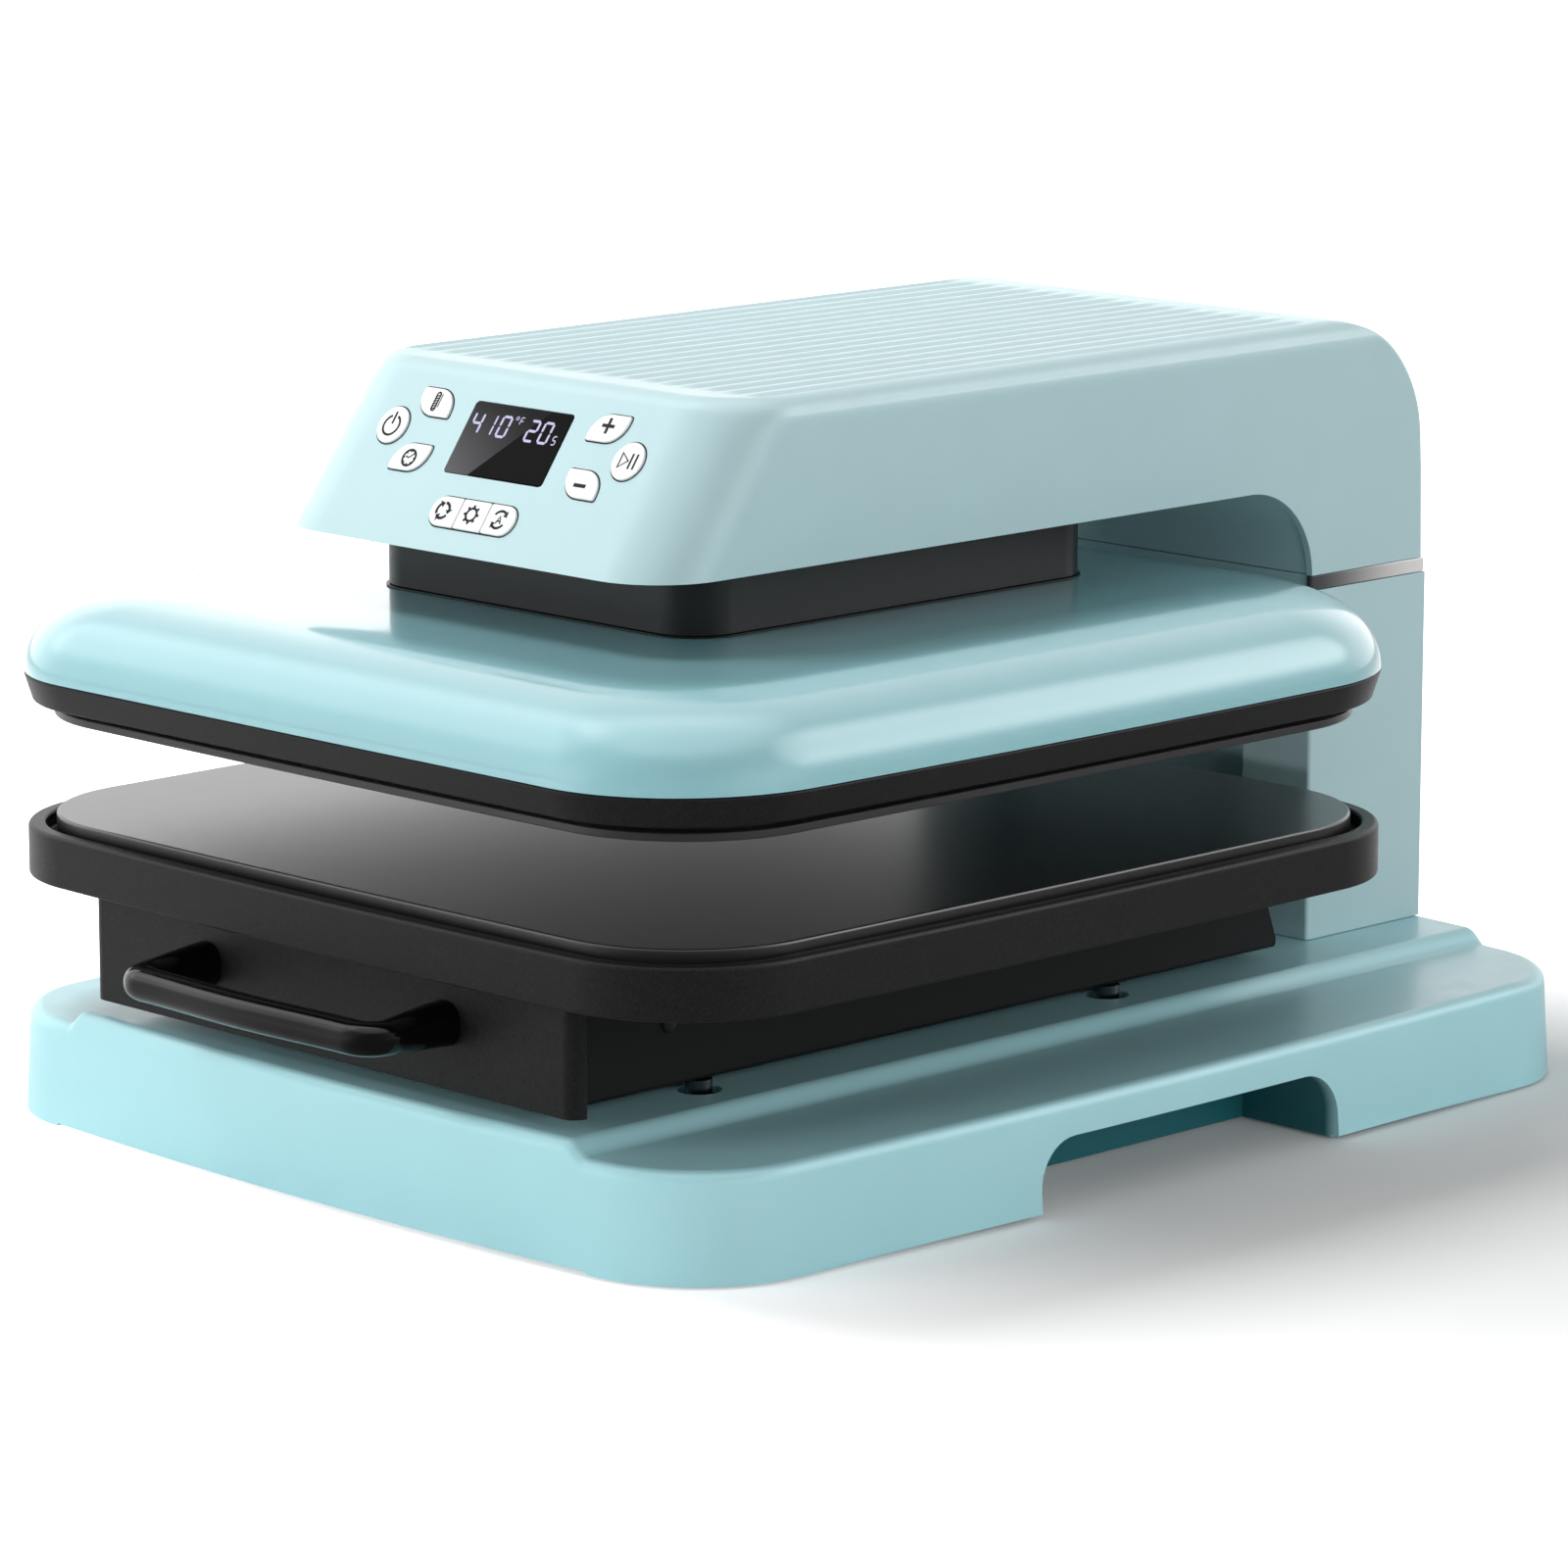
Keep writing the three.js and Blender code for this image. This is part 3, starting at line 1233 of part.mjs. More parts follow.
function buildInlet() {
  const front = columnBack - inletDepth;
  const flangeBack = columnBack + seatGap + inletFlangeThickness;
  let inlet = box([inletX - inletHalfWidth, inletX + inletHalfWidth], [front, flangeBack],
    [inletZ - inletHalfHeight, inletZ + inletHalfHeight]);
  const reach = inletHalfWidth + inletFlange;
  const rise = inletHalfHeight + inletFlange;
  inlet = inlet.add(box([inletX - reach, inletX + reach], [columnBack + seatGap, flangeBack],
    [inletZ - rise, inletZ + rise]));
  const socketX = inletX + socketOffset;
  inlet = inlet.subtract(box([socketX - socketHalfWidth, socketX + socketHalfWidth],
    [flangeBack - socketDepth, flangeBack + overrun],
    [inletZ - socketHalfHeight, inletZ + socketHalfHeight]));
  for (const step of [-1, 0, 1]) {
    const x = socketX + step * bladePitch;
    const z = inletZ + (step === 0 ? bladeDrop : -bladeDrop) / 2;
    inlet = inlet.add(box([x - bladeThickness / 2, x + bladeThickness / 2],
      [flangeBack - socketDepth - overrun, flangeBack - bladeRecess],
      [z - bladeWidth / 2, z + bladeWidth / 2]));
  }
  const wellHalf = rockerHalfWidth + seatGap;
  const wellRise = rockerHalfHeight + rockerWellGap;
  const wellFront = rockerPivotY - Math.hypot(rockerBack, rockerBack) - rockerWellGap;
  return inlet.subtract(box([rockerX - wellHalf, rockerX + wellHalf], [wellFront, flangeBack + overrun],
    [inletZ - wellRise, inletZ + wellRise]));
}

function buildRocker() {
  const shape = polygon([
    [-rockerBack, -rockerBack], [0, -rockerHalfHeight], [rockerFace, -rockerHalfHeight],
    [rockerWaist, 0], [rockerFace, rockerHalfHeight], [0, rockerHalfHeight], [-rockerBack, rockerBack],
  ]);
  const geometry = new THREE.ExtrudeGeometry(shape, { depth: 2 * rockerHalfWidth, bevelEnabled: false });
  geometry.applyMatrix4(alongX);
  geometry.translate(-rockerHalfWidth, 0, 0);
  geometry.rotateX(-THREE.MathUtils.degToRad(rockerTiltDegrees));
  geometry.translate(rockerX, rockerPivotY, inletZ);
  return solidOf(geometry);
}

place("power_board", buildPowerBoard(), boardGreen);
place("mains_inlet", buildInlet(), blackMatte);
place("rocker_switch", buildRocker(), blackGloss);

export default group;
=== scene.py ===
"""Looks of the automatic heat press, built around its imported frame."""
from functools import partial
from math import atan2, copysign, cos, hypot, pi, radians, sin, sqrt, tan

import bmesh
import bpy
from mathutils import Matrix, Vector


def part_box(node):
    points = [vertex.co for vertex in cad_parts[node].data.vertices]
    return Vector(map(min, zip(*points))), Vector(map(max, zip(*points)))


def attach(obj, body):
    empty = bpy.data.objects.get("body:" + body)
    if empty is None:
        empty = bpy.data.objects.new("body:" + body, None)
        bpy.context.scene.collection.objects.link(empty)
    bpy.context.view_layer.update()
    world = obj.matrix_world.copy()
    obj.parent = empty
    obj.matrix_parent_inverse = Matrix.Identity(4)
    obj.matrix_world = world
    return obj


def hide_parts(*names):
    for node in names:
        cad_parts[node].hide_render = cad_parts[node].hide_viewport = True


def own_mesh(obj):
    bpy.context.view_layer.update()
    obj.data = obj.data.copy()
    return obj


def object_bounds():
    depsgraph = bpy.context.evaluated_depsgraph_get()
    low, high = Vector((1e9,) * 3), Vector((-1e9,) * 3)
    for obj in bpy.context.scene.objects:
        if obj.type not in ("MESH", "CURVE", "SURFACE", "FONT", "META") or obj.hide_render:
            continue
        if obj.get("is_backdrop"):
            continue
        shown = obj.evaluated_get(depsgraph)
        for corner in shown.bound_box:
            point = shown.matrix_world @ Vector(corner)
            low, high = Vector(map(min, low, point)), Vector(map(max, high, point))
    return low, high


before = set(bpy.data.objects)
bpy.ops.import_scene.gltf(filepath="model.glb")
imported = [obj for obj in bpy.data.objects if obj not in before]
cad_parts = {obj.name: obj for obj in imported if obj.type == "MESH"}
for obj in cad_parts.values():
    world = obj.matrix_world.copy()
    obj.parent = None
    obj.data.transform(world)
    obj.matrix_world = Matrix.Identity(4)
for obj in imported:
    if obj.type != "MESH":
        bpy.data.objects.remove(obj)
cad_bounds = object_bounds()

# Millimetres. Front and back places are measured from the middle of the base, heights from the table.
MM = 0.001
SHIFT = sum(corner.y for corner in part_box("base_shell")) / 2 / MM


def span(name):
    """Lowest and highest corner of a CAD node, in millimetres."""
    low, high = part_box(name)
    offset = Vector((0, SHIFT, 0))
    return low / MM - offset, high / MM - offset


def centre(name):
    low, high = span(name)
    return (low.x + high.x) / 2, (low.y + high.y) / 2


GAP = 0.3
OVERRUN = 6
ARC_STEPS, EDGE_STEPS, CORNER_STEPS, STRAIGHT_STEPS, ROUND_STEPS = 10, 6, 18, 8, 64
SIDES = ((-1, "left"), (1, "right"))
CORNERS = [f"{end}_{side}" for end in ("front", "back") for side in ("left", "right")]
POSTS = [(corner, *centre(f"bed_post_{corner}")) for corner in CORNERS]

# Base
BASE_LOW, BASE_HIGH = span("base_shell")
BASE_WALL = 3
BASE_DRAFT = 2
BASE_EDGE = 4.8
BASE_RIM = 2
LIP_DROP = 1
LIP_X = 148
LIP_Y = 192
LIP_STEP = 0.5
SHOULDER_DROP = 5.8
PLATEAU_FOOT = 142.5
PLATEAU_SLOPE = 6
SLOPE_SOFTNESS = 2.2
POCKET_X = 157
POCKET_FRONT = -77
POCKET_BACK = 85
POCKET_TOP = 28
POCKET_CORNER = 18
POCKET_LIP = 2
# Painted shade inside the hand pockets: how far in from the side it reaches, and its deep teal colour.
POCKET_SHADE = (3, 8)
POCKET_SHADE_TONE = 0x226A72
POST_HOLE_RADIUS = 8.3

# Upper platen and neck
PLATE_STEP = 6.5
DOME_REACH = 60
DOME_SHARE = 3.4
DOME_STEPS = 26
DOME_CORNER_SHARE = 0.5
COVER_WALL = 3
NECK_LOW = (-89.5, -139)
NECK_HIGH = (89.5, 74)
NECK_CORNER = 19
NECK_WALL = 2.4

# Column, strip and head
COLUMN_LOW, COLUMN_HIGH = span("column_shell")
COLUMN_EDGE = 1.5
HEAD_LOW, HEAD_HIGH = span("head_casing")
HEAD_TOP = HEAD_HIGH.z
HEAD_FRONT = -174.6
HEAD_BOTTOM = 229.4
HEAD_LEAN = radians(35.2)
HEAD_DRAFT = 1.6
HEAD_WALL = 3
HEAD_FRONT_CORNER = 29.5
HEAD_FRONT_CORNER_TOP = 31
HEAD_REAR_CORNER = 4
HEAD_SIDE_EDGE = 10
HEAD_FRONT_EDGE = 5
REAR_RADIUS = 50
REAR_LEAN = 1.2
REAR_ARC_Z = HEAD_TOP - REAR_RADIUS
REAR_ARC_Y = COLUMN_HIGH.y - REAR_LEAN - REAR_RADIUS
ARCH_RADIUS = 36
ARCH_Y = COLUMN_LOW.y - ARCH_RADIUS
ARCH_Z = HEAD_BOTTOM - ARCH_RADIUS
UNDERSIDE_RECESS = 1
UNDERSIDE_THICKNESS = 2.5
APRON_HALF = HEAD_HIGH.x - HEAD_WALL - GAP
APRON_FRONT = COLUMN_LOW.y + UNDERSIDE_RECESS
APRON_BACK = APRON_FRONT + UNDERSIDE_THICKNESS

# Control panel, measured along the slanted face from the head's lower front edge
DISPLAY_HALF = (26.6, 15)
DISPLAY_RISE = 47.19
DISPLAY_CORNER = 1.6
DISPLAY_PROUD = 0.2
ROUND_KEY_RADIUS = 7.7
ROUND_KEY_X = 64.3
ROUND_KEY_RISE = 47.29
LEAF_HALF = (9.3, 5.7)
LEAF_SHARP = 0.9
LEAF_ROUND = 9
LEAF_X = 47
LOW_RISE, HIGH_RISE = 35.57, 58.9
PILL_HALF = (22.8, 6.1)
PILL_RISE = 16.42
PILL_SPLIT = 7.55
KEY_PROUD = 0.9
INK_THICKNESS = 0.06
INK_LIFT = 0.01
INK_WIDTH = 0.62
# Width of the painted shade ring round each key.
GAP_SHADE_WIDTH = 0.5
# Straight line where the display's painted reflection ends.
PAINTED_SHEEN_LINE = ((-11.9, 33.9), (4.3, 51.2))
DIGIT_SLANT = 0.03


# Meshes. Points are in millimetres and become metres here.
def placed(name, data):
    """A new object in the scene."""
    made = bpy.data.objects.new(name, data)
    bpy.context.scene.collection.objects.link(made)
    return made


def new_piece(name, points, faces):
    mesh = bpy.data.meshes.new(name)
    mesh.from_pydata([(x * MM, (y + SHIFT) * MM, z * MM) for x, y, z in points], [], faces)
    shape = bmesh.new()
    shape.from_mesh(mesh)
    bmesh.ops.recalc_face_normals(shape, faces=shape.faces)
    shape.to_mesh(mesh)
    shape.free()
    return placed(name, mesh)


def loft(name, rings, ends="faces"):
    """Skin over rings with the same number of points. Its ends are single faces, strips between the
    points that mirror each other front to back, or joined to each other."""
    count = len(rings[0])
    last = (len(rings) - 1) * count
    faces = []
    for here in range(0, last + count if ends == "joined" else last, count):
        there = (here + count) % (last + count)
        for i in range(count):
            j = (i + 1) % count
            faces.append((here + i, here + j, there + j, there + i))
    for start in (0, last):
        if ends == "faces":
            faces.append(tuple(range(start, start + count)))
        elif ends == "strips":
            half, end = count // 2, start + count
            faces += [(start, start + 1, end - 1), (start + half - 1, start + half, start + half + 1)]
            faces += [(start + i, start + i + 1, end - i - 1, end - i) for i in range(1, half - 1)]
    return new_piece(name, [point for ring in rings for point in ring], faces)


AXES = {
    "z": lambda a, b, t: (a, b, t),
    "x": lambda a, b, t: (t, a, b),
    "y": lambda a, b, t: (a, t, b),
}


def prism(name, outline, axis, low, high):
    """Outline drawn in (x, y), (y, z) or (x, z), stretched along the axis that is left."""
    return loft(name, [[AXES[axis](a, b, t) for a, b in outline] for t in (low, high)])


def rectangle(left, right, low, high):
    return [(left, low), (right, low), (right, high), (left, high)]


def block(name, low, high):
    return prism(name, rectangle(low[0], high[0], low[1], high[1]), "z", low[2], high[2])


def arc(x, y, radius, start, turn, steps):
    angles = [start + turn * i / steps for i in range(steps + 1)]
    return [(x + radius * cos(a), y + radius * sin(a)) for a in angles]


def circle(x, y, radius, steps=ROUND_STEPS):
    return arc(x, y, radius, 0, 2 * pi, steps)[:-1]


def turned(name, profile, a, b, axis="z", steps=ROUND_STEPS):
    """Solid of revolution. The profile is a list of (radius, place along the axis)."""
    return loft(name, [[AXES[axis](p, q, t) for p, q in circle(a, b, radius, steps)]
                       for radius, t in profile])


def rounded_box(left, right, low, high, *radii):
    """Rectangle with one radius, or one for each corner from low left round to high left."""
    a, b, c, d = radii if len(radii) == 4 else radii * 4
    corners = ((left + a, low + a, a, pi), (right - b, low + b, b, 1.5 * pi),
               (right - c, high - c, c, 0), (left + d, high - d, d, 0.5 * pi))
    return [spot for x, y, radius, start in corners for spot in arc(x, y, radius, start, pi / 2, ARC_STEPS)]


def filleted(corners, steps=EDGE_STEPS):
    """Outline of straight lines. Each corner is (a, b, radius)."""
    outline = []
    for i, (a, b, radius) in enumerate(corners):
        here = Vector((a, b))
        if radius <= 0:
            outline.append((a, b))
            continue
        before = (Vector(corners[i - 1][:2]) - here).normalized()
        after = (Vector(corners[(i + 1) % len(corners)][:2]) - here).normalized()
        half = before.angle(after) / 2
        middle = here + (before + after).normalized() * radius / sin(half)
        first = here + before * radius / tan(half) - middle
        last = here + after * radius / tan(half) - middle
        start = atan2(first.y, first.x)
        turn = (atan2(last.y, last.x) - start + pi) % (2 * pi) - pi
        outline += arc(middle.x, middle.y, radius, start, turn, steps)
    return outline


def combine(operation, piece, *others):
    """Joins or cuts with solids that are used up."""
    for other in others:
        modifier = piece.modifiers.new("combine", "BOOLEAN")
        modifier.object, modifier.operation, modifier.solver = other, operation, "EXACT"
        graph = bpy.context.evaluated_depsgraph_get()
        mesh = bpy.data.meshes.new_from_object(piece.evaluated_get(graph))
        piece.modifiers.clear()
        piece.data = mesh
        bpy.data.objects.remove(other)
    return piece


def cut(piece, *others):
    return combine("DIFFERENCE", piece, *others)


def gather(name, pieces):
    """Separate solids in one object."""
    shape = bmesh.new()
    for piece in pieces:
        shape.from_mesh(piece.data)
        bpy.data.objects.remove(piece)
    mesh = bpy.data.meshes.new(name)
    shape.to_mesh(mesh)
    shape.free()
    return placed(name, mesh)


def round_edges(piece, width, chosen, segments=3, sharper=35):
    """Bevels the edges that turn by more than the given angle and whose middle is chosen."""
    shape = bmesh.new()
    shape.from_mesh(piece.data)
    bmesh.ops.remove_doubles(shape, verts=shape.verts, dist=0.01 * MM)
    edges = []
    for edge in shape.edges:
        middle = (edge.verts[0].co + edge.verts[1].co) / 2 / MM
        turns = len(edge.link_faces) == 2 and edge.calc_face_angle(0) > radians(sharper)
        if turns and chosen(middle.x, middle.y - SHIFT, middle.z):
            edges.append(edge)
    bmesh.ops.bevel(shape, geom=edges, offset=width * MM, offset_type="OFFSET", segments=segments,
                    profile=0.5, affect="EDGES", clamp_overlap=True)
    shape.to_mesh(piece.data)
    shape.free()


def dress(piece, finish, body, *nodes, smooth=32):
    """Shading, material and place in the frame of a finished piece."""
    mesh = piece.data
    mesh.shade_smooth()
    mesh.set_sharp_from_angle(angle=radians(smooth))
    weighted = piece.modifiers.new("weighted", "WEIGHTED_NORMAL")
    weighted.weight = 100
    weighted.keep_sharp = True
    mesh.materials.clear()
    mesh.materials.append(materials[finish])
    SLOT_OF.get(finish, finish)
    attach(piece, body)
    if nodes:
        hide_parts(*nodes)
    return piece


def smooth_step(share):
    share = min(max(share, 0), 1)
    return share * share * (3 - 2 * share)


def quarter(steps):
    """Angles of a quarter turn."""
    return [pi / 2 * i / steps for i in range(steps + 1)]


def edge_steps(radius, steps=EDGE_STEPS):
    """(inset, drop) along a quarter-round edge, from its foot to the top."""
    return [(radius * (1 - cos(a)), radius * (1 - sin(a))) for a in quarter(steps)]


def rounded_foot(radius, z, steps=EDGE_STEPS):
    """(inset, height) up the quarter-round edge that starts at z."""
    return [(shift, z + drop) for shift, drop in reversed(edge_steps(radius, steps))]


def rounded_top(radius, z, steps=EDGE_STEPS):
    """(inset, height) up the quarter-round edge that ends at z."""
    return [(shift, z - drop) for shift, drop in edge_steps(radius, steps)]


# Plan outlines of the base, tray, pad and platen
class Outline:
    """Bowed sides and ends with a smooth conic at each corner."""

    def __init__(self, name, side_bow, end_bow, corner, side_stops=(), end_stops=()):
        low, high = span(name)
        self.half_x = high.x
        self.half_y = (high.y - low.y) / 2
        self.middle_y = (high.y + low.y) / 2
        self.side_bow, self.end_bow, self.corner = side_bow, end_bow, corner
        self.side_shares = self.shares(self.half_y - corner, side_stops)
        self.end_shares = self.shares(self.half_x - corner, end_stops)

    @staticmethod
    def shares(length, stops):
        even = [i / STRAIGHT_STEPS for i in range(STRAIGHT_STEPS)]
        clear = [share for share in even if all(abs(share - s / length) > 0.02 for s in stops)]
        return sorted(clear + [stop / length for stop in stops])

    def ring(self, inset, corner_share=1):
        half_x, half_y = self.half_x - inset, self.half_y - inset
        reach = max(self.corner - inset * corner_share, GAP)
        side_end, end_end = 1 - reach / half_y, 1 - reach / half_x

        def side(share):
            return Vector((half_x - self.side_bow * share ** 2, half_y * share))

        def end(share):
            return Vector((half_x * share, half_y - self.end_bow * share ** 2))

        first, last = side(side_end), end(end_end)
        along_side = Vector((-2 * self.side_bow * side_end, half_y)).normalized()
        along_end = Vector((half_x, -2 * self.end_bow * end_end)).normalized()
        pull = first + along_side * (last - first).cross(along_end) / along_side.cross(along_end)
        quarter = [side(side_end * share) for share in self.side_shares]
        for i in range(CORNER_STEPS + 1):
            t = i / CORNER_STEPS
            weights = ((1 - t) ** 2, sqrt(2) * t * (1 - t), t * t)
            mixed = first * weights[0] + pull * weights[1] + last * weights[2]
            quarter.append(mixed / sum(weights))
        quarter += [end(end_end * share) for share in reversed(self.end_shares)]
        upper = quarter + [Vector((-p.x, p.y)) for p in reversed(quarter[:-1])]
        lower = [Vector((p.x, -p.y)) for p in reversed(upper[1:-1])]
        return [(p.x, p.y + self.middle_y) for p in upper + lower]

    def level(self, inset, z, corner_share=1):
        return [(x, y, z) for x, y in self.ring(inset, corner_share)]

    def stack(self, name, levels):
        return loft(name, [self.level(inset, z) for inset, z in levels])


SLOPE_STOPS = [PLATEAU_FOOT + SLOPE_SOFTNESS - 0.8 * i for i in range(14)]
base_outline = Outline("base_shell", 8.1, 11.2, 54, [LIP_Y - LIP_STEP, LIP_Y + LIP_STEP],
                       SLOPE_STOPS + [LIP_X - LIP_STEP, LIP_X + LIP_STEP])
tray_outline = Outline("tray", 3.8, 4.7, 56.6)
pad_outline = Outline("pad", 1.2, 2.2, 56.5)
platen_outline = Outline("platen_rim", 4.2, 0.1, 65.6)


# Shader nodes. An input is a value or another node's output.
def feed(tree, socket, value):
    if isinstance(value, bpy.types.NodeSocket):
        tree.links.new(value, socket)
    else:
        socket.default_value = value


def node(tree, kind, inputs, **settings):
    """Outputs of a new node."""
    made = tree.nodes.new(f"ShaderNode{kind}")
    for name, value in settings.items():
        setattr(made, name, value)
    for name, value in inputs.items():
        feed(tree, made.inputs[name], value)
    return made.outputs


def ramp(tree, value, start, end, low=0, high=1, curve="LINEAR"):
    """Takes a value from one range to another and holds it at the ends."""
    return node(tree, "MapRange", {
        "Value": value, "From Min": start, "From Max": end, "To Min": low, "To Max": high},
        interpolation_type=curve)["Result"]


def maths(tree, operation, *values):
    return node(tree, "Math", dict(enumerate(values)), operation=operation)["Value"]


def product(tree, value, *others):
    for other in others:
        value = maths(tree, "MULTIPLY", value, other)
    return value


# Materials
def linear(code):
    """Scene colour of an sRGB hex code."""
    channels = [(code >> bits & 255) / 255 for bits in (16, 8, 0)]
    return (*(c / 12.92 if c <= 0.04045 else ((c + 0.055) / 1.055) ** 2.4 for c in channels), 1)


def tones(code, swing):
    """Two colours a little darker and lighter than the code."""
    base = linear(code)
    return [tuple(c * (1 + sign * swing) for c in base[:3]) + (1,) for sign in (-1, 1)]


class Finish:
    """A material's nodes, fed with places on the object in metres."""

    def __init__(self, name, **values):
        self.material = materials[name] = bpy.data.materials.new(name)
        self.material.use_nodes = True
        self.tree = self.material.node_tree
        self.shader = self.tree.nodes["Principled BSDF"].inputs
        self.places = node(self.tree, "TexCoord", {})["Object"]
        self.set(**values)

    def set(self, **values):
        for name, value in values.items():
            feed(self.tree, self.shader[name.replace("_", " ")], value)

    def along(self, axis):
        return node(self.tree, "SeparateXYZ", {0: self.places})[axis]

    def ramp(self, *values):
        return ramp(self.tree, *values)

    def noise(self, size, detail=2, stretch=(1, 1, 1)):
        """Noise whose features are about the given size in millimetres."""
        mapping = node(self.tree, "Mapping", {"Scale": stretch, "Vector": self.places})
        return node(self.tree, "TexNoise", {
            "Scale": 1 / (size * MM), "Detail": detail, "Vector": mapping["Vector"]})["Fac"]

    def spread(self, noise, low=0, high=1):
        return self.ramp(noise, 0.3, 0.7, low, high)

    def colour(self, share, first, second):
        mix = node(self.tree, "Mix", {"Factor": share, "A": first, "B": second}, data_type="RGBA")
        self.set(Base_Color=mix["Result"])

    def rough(self, noise, middle, swing):
        self.set(Roughness=self.spread(noise, middle - swing, middle + swing))

    def bump(self, noise, height):
        self.set(Normal=node(self.tree, "Bump", {
            "Distance": height * MM, "Strength": 1, "Height": noise})["Normal"])


def moulded(name, code, roughness, grain, height, swing=0.015, uneven=0.03, **values):
    """Moulded, painted or powder-coated surface with a fine grain and faint unevenness."""
    finish = Finish(name, **values)
    finish.colour(finish.spread(finish.noise(40, 3)), *tones(code, swing))
    finish.rough(finish.noise(9, 3), roughness, uneven)
    finish.bump(finish.noise(grain), height)
    return finish


def brushed(name, code, roughness, stretch):
    finish = Finish(name, Metallic=1)
    lines = finish.noise(6, 4, stretch)
    finish.colour(finish.spread(lines), *tones(code, 0.06))
    finish.rough(lines, roughness, 0.06)
    finish.bump(lines, 0.01)


def sparkling(name, code, roughness, grain, height, specular, swing):
    """Black surface whose fine grain sparkles."""
    finish = Finish(name, Specular_IOR_Level=specular)
    finish.colour(finish.spread(finish.noise(grain * 2)), *tones(code, swing))
    finish.rough(finish.noise(grain), roughness, 0.08)
    finish.bump(finish.noise(grain), height)


def shaded_shell(name):
    """The base's teal with painted shade: a deeper teal inside the hand pockets."""
    finish = moulded(name, 0xA9DBE2, 0.34, 0.5, 0.01, Specular_IOR_Level=0.7)
    half = (POCKET_BACK - POCKET_FRONT) / 2
    shares = []
    for axis, middle, near, far in (
            ("X", 0, BASE_HIGH.x - POCKET_SHADE[1], BASE_HIGH.x - POCKET_SHADE[0]),
            ("Y", POCKET_FRONT + half + SHIFT, half, half + 1),
            ("Z", 0, POCKET_TOP + 1, POCKET_TOP + 2)):
        offset = maths(finish.tree, "SUBTRACT", finish.along(axis), middle * MM)
        distance = maths(finish.tree, "ABSOLUTE", offset)
        shares.append(finish.ramp(distance, near * MM, far * MM, 1, 0))
    # Painted shade: the plain teal turns to the deep teal inside the pockets.
    plain = finish.shader["Base Color"].links[0].from_socket
    finish.colour(product(finish.tree, *shares), plain, linear(POCKET_SHADE_TONE))


def painted_sheen_glass(name):
    """Dark glass with a painted sheen: a slanting painted reflection that ends along a straight line and
    wanes upwards and across.
    """
    finish = Finish(name, Specular_IOR_Level=0.03)
    (x0, rise0), (x1, rise1) = PAINTED_SHEEN_LINE
    steep = (x1 - x0) / cos(HEAD_LEAN)
    across = node(finish.tree, "VectorMath", {0: finish.places, 1: (rise1 - rise0, 0, -steep)},
                  operation="DOT_PRODUCT")["Value"]
    edge = ((rise1 - rise0) * x0 - steep * (HEAD_BOTTOM + rise0 * cos(HEAD_LEAN))) * MM
    lit = maths(finish.tree, "LESS_THAN", across, edge)
    low, high = (HEAD_BOTTOM + (DISPLAY_RISE + side * DISPLAY_HALF[1]) * cos(HEAD_LEAN) for side in (-1, 1))
    upwards = finish.ramp(finish.along("Z"), low * MM, high * MM, 1, 0.2)
    sideways = finish.ramp(finish.along("X"), -DISPLAY_HALF[0] * MM, x1 * MM, 1, 0.35)
    # Painted reflection: the lighter grey is the sheen, the near-black the glass.
    finish.colour(product(finish.tree, lit, upwards, sideways), linear(0x0A0A0B), linear(0x606062))
    finish.rough(finish.noise(12), 0.13, 0.03)


def silver_strip(name):
    """Bright metal with a painted reflection: it darkens towards the front of the press, as if it mirrored
    the dark arch.
    """
    finish = Finish(name, Metallic=0.55)
    low, high = span("trim_strip")
    share = finish.ramp(finish.along("Y"), (low.y + SHIFT) * MM, (high.y + SHIFT) * MM, 0, 1, "SMOOTHSTEP")
    # Painted reflection: dark grey at the front, the metal's own bright colour at the back.
    finish.colour(share, linear(0x505152), linear(0xFFFDFB))
    finish.rough(finish.noise(2), 0.315, 0.025)


def felted(name, code):
    finish = Finish(name, Sheen_Weight=0.4, Roughness=0.95)
    fibres = finish.noise(1.6, 6, (1, 1, 3))
    finish.colour(finish.spread(fibres), *tones(code, 0.2))
    finish.bump(fibres, 0.6)


def glowing(name, code, strength):
    finish = Finish(name, Emission_Color=linear(code), Emission_Strength=strength, Roughness=0.4)
    finish.colour(finish.spread(finish.noise(3)), *tones(0x101012, 0.02))


materials = {}
ACROSS = (0.04, 1, 1)
UPRIGHT = (1, 1, 0.04)
shaded_shell("teal_shell")
# The head's teal is a paler, greyer copy of the base's: the paleness is painted sheen, white light mirrored
# on the head.
moulded("head_shell", 0xB0CED2, 0.33, 0.5, 0.01, Specular_IOR_Level=0.9)
moulded("gloss_teal", 0x8CBFC6, 0.3, 1.5, 0.001, uneven=0.01, Coat_Weight=1, Coat_Roughness=0.1)
sparkling("black_cast", 0x1B1B1C, 0.44, 0.45, 0.05, 0.2, 0.3)
sparkling("black_sheet", 0x151515, 0.45, 0.5, 0.02, 0.15, 0.1)
sparkling("neck_sheet", 0x151617, 0.36, 0.45, 0.012, 0.4, 0.1)
moulded("black_plastic", 0x1C1C1D, 0.42, 0.6, 0.015, 0.04, Specular_IOR_Level=0.3)
moulded("black_gloss", 0x070707, 0.12, 2, 0.001, 0.04, 0.01, Specular_IOR_Level=0.25)
painted_sheen_glass("display_glass")
moulded("pad_rubber", 0x1D1D1E, 0.3, 0.8, 0.004, 0.03, 0.004, Specular_IOR_Level=0.8)
silver_strip("silver_trim")
brushed("bright_steel", 0xC8C8C8, 0.2, UPRIGHT)
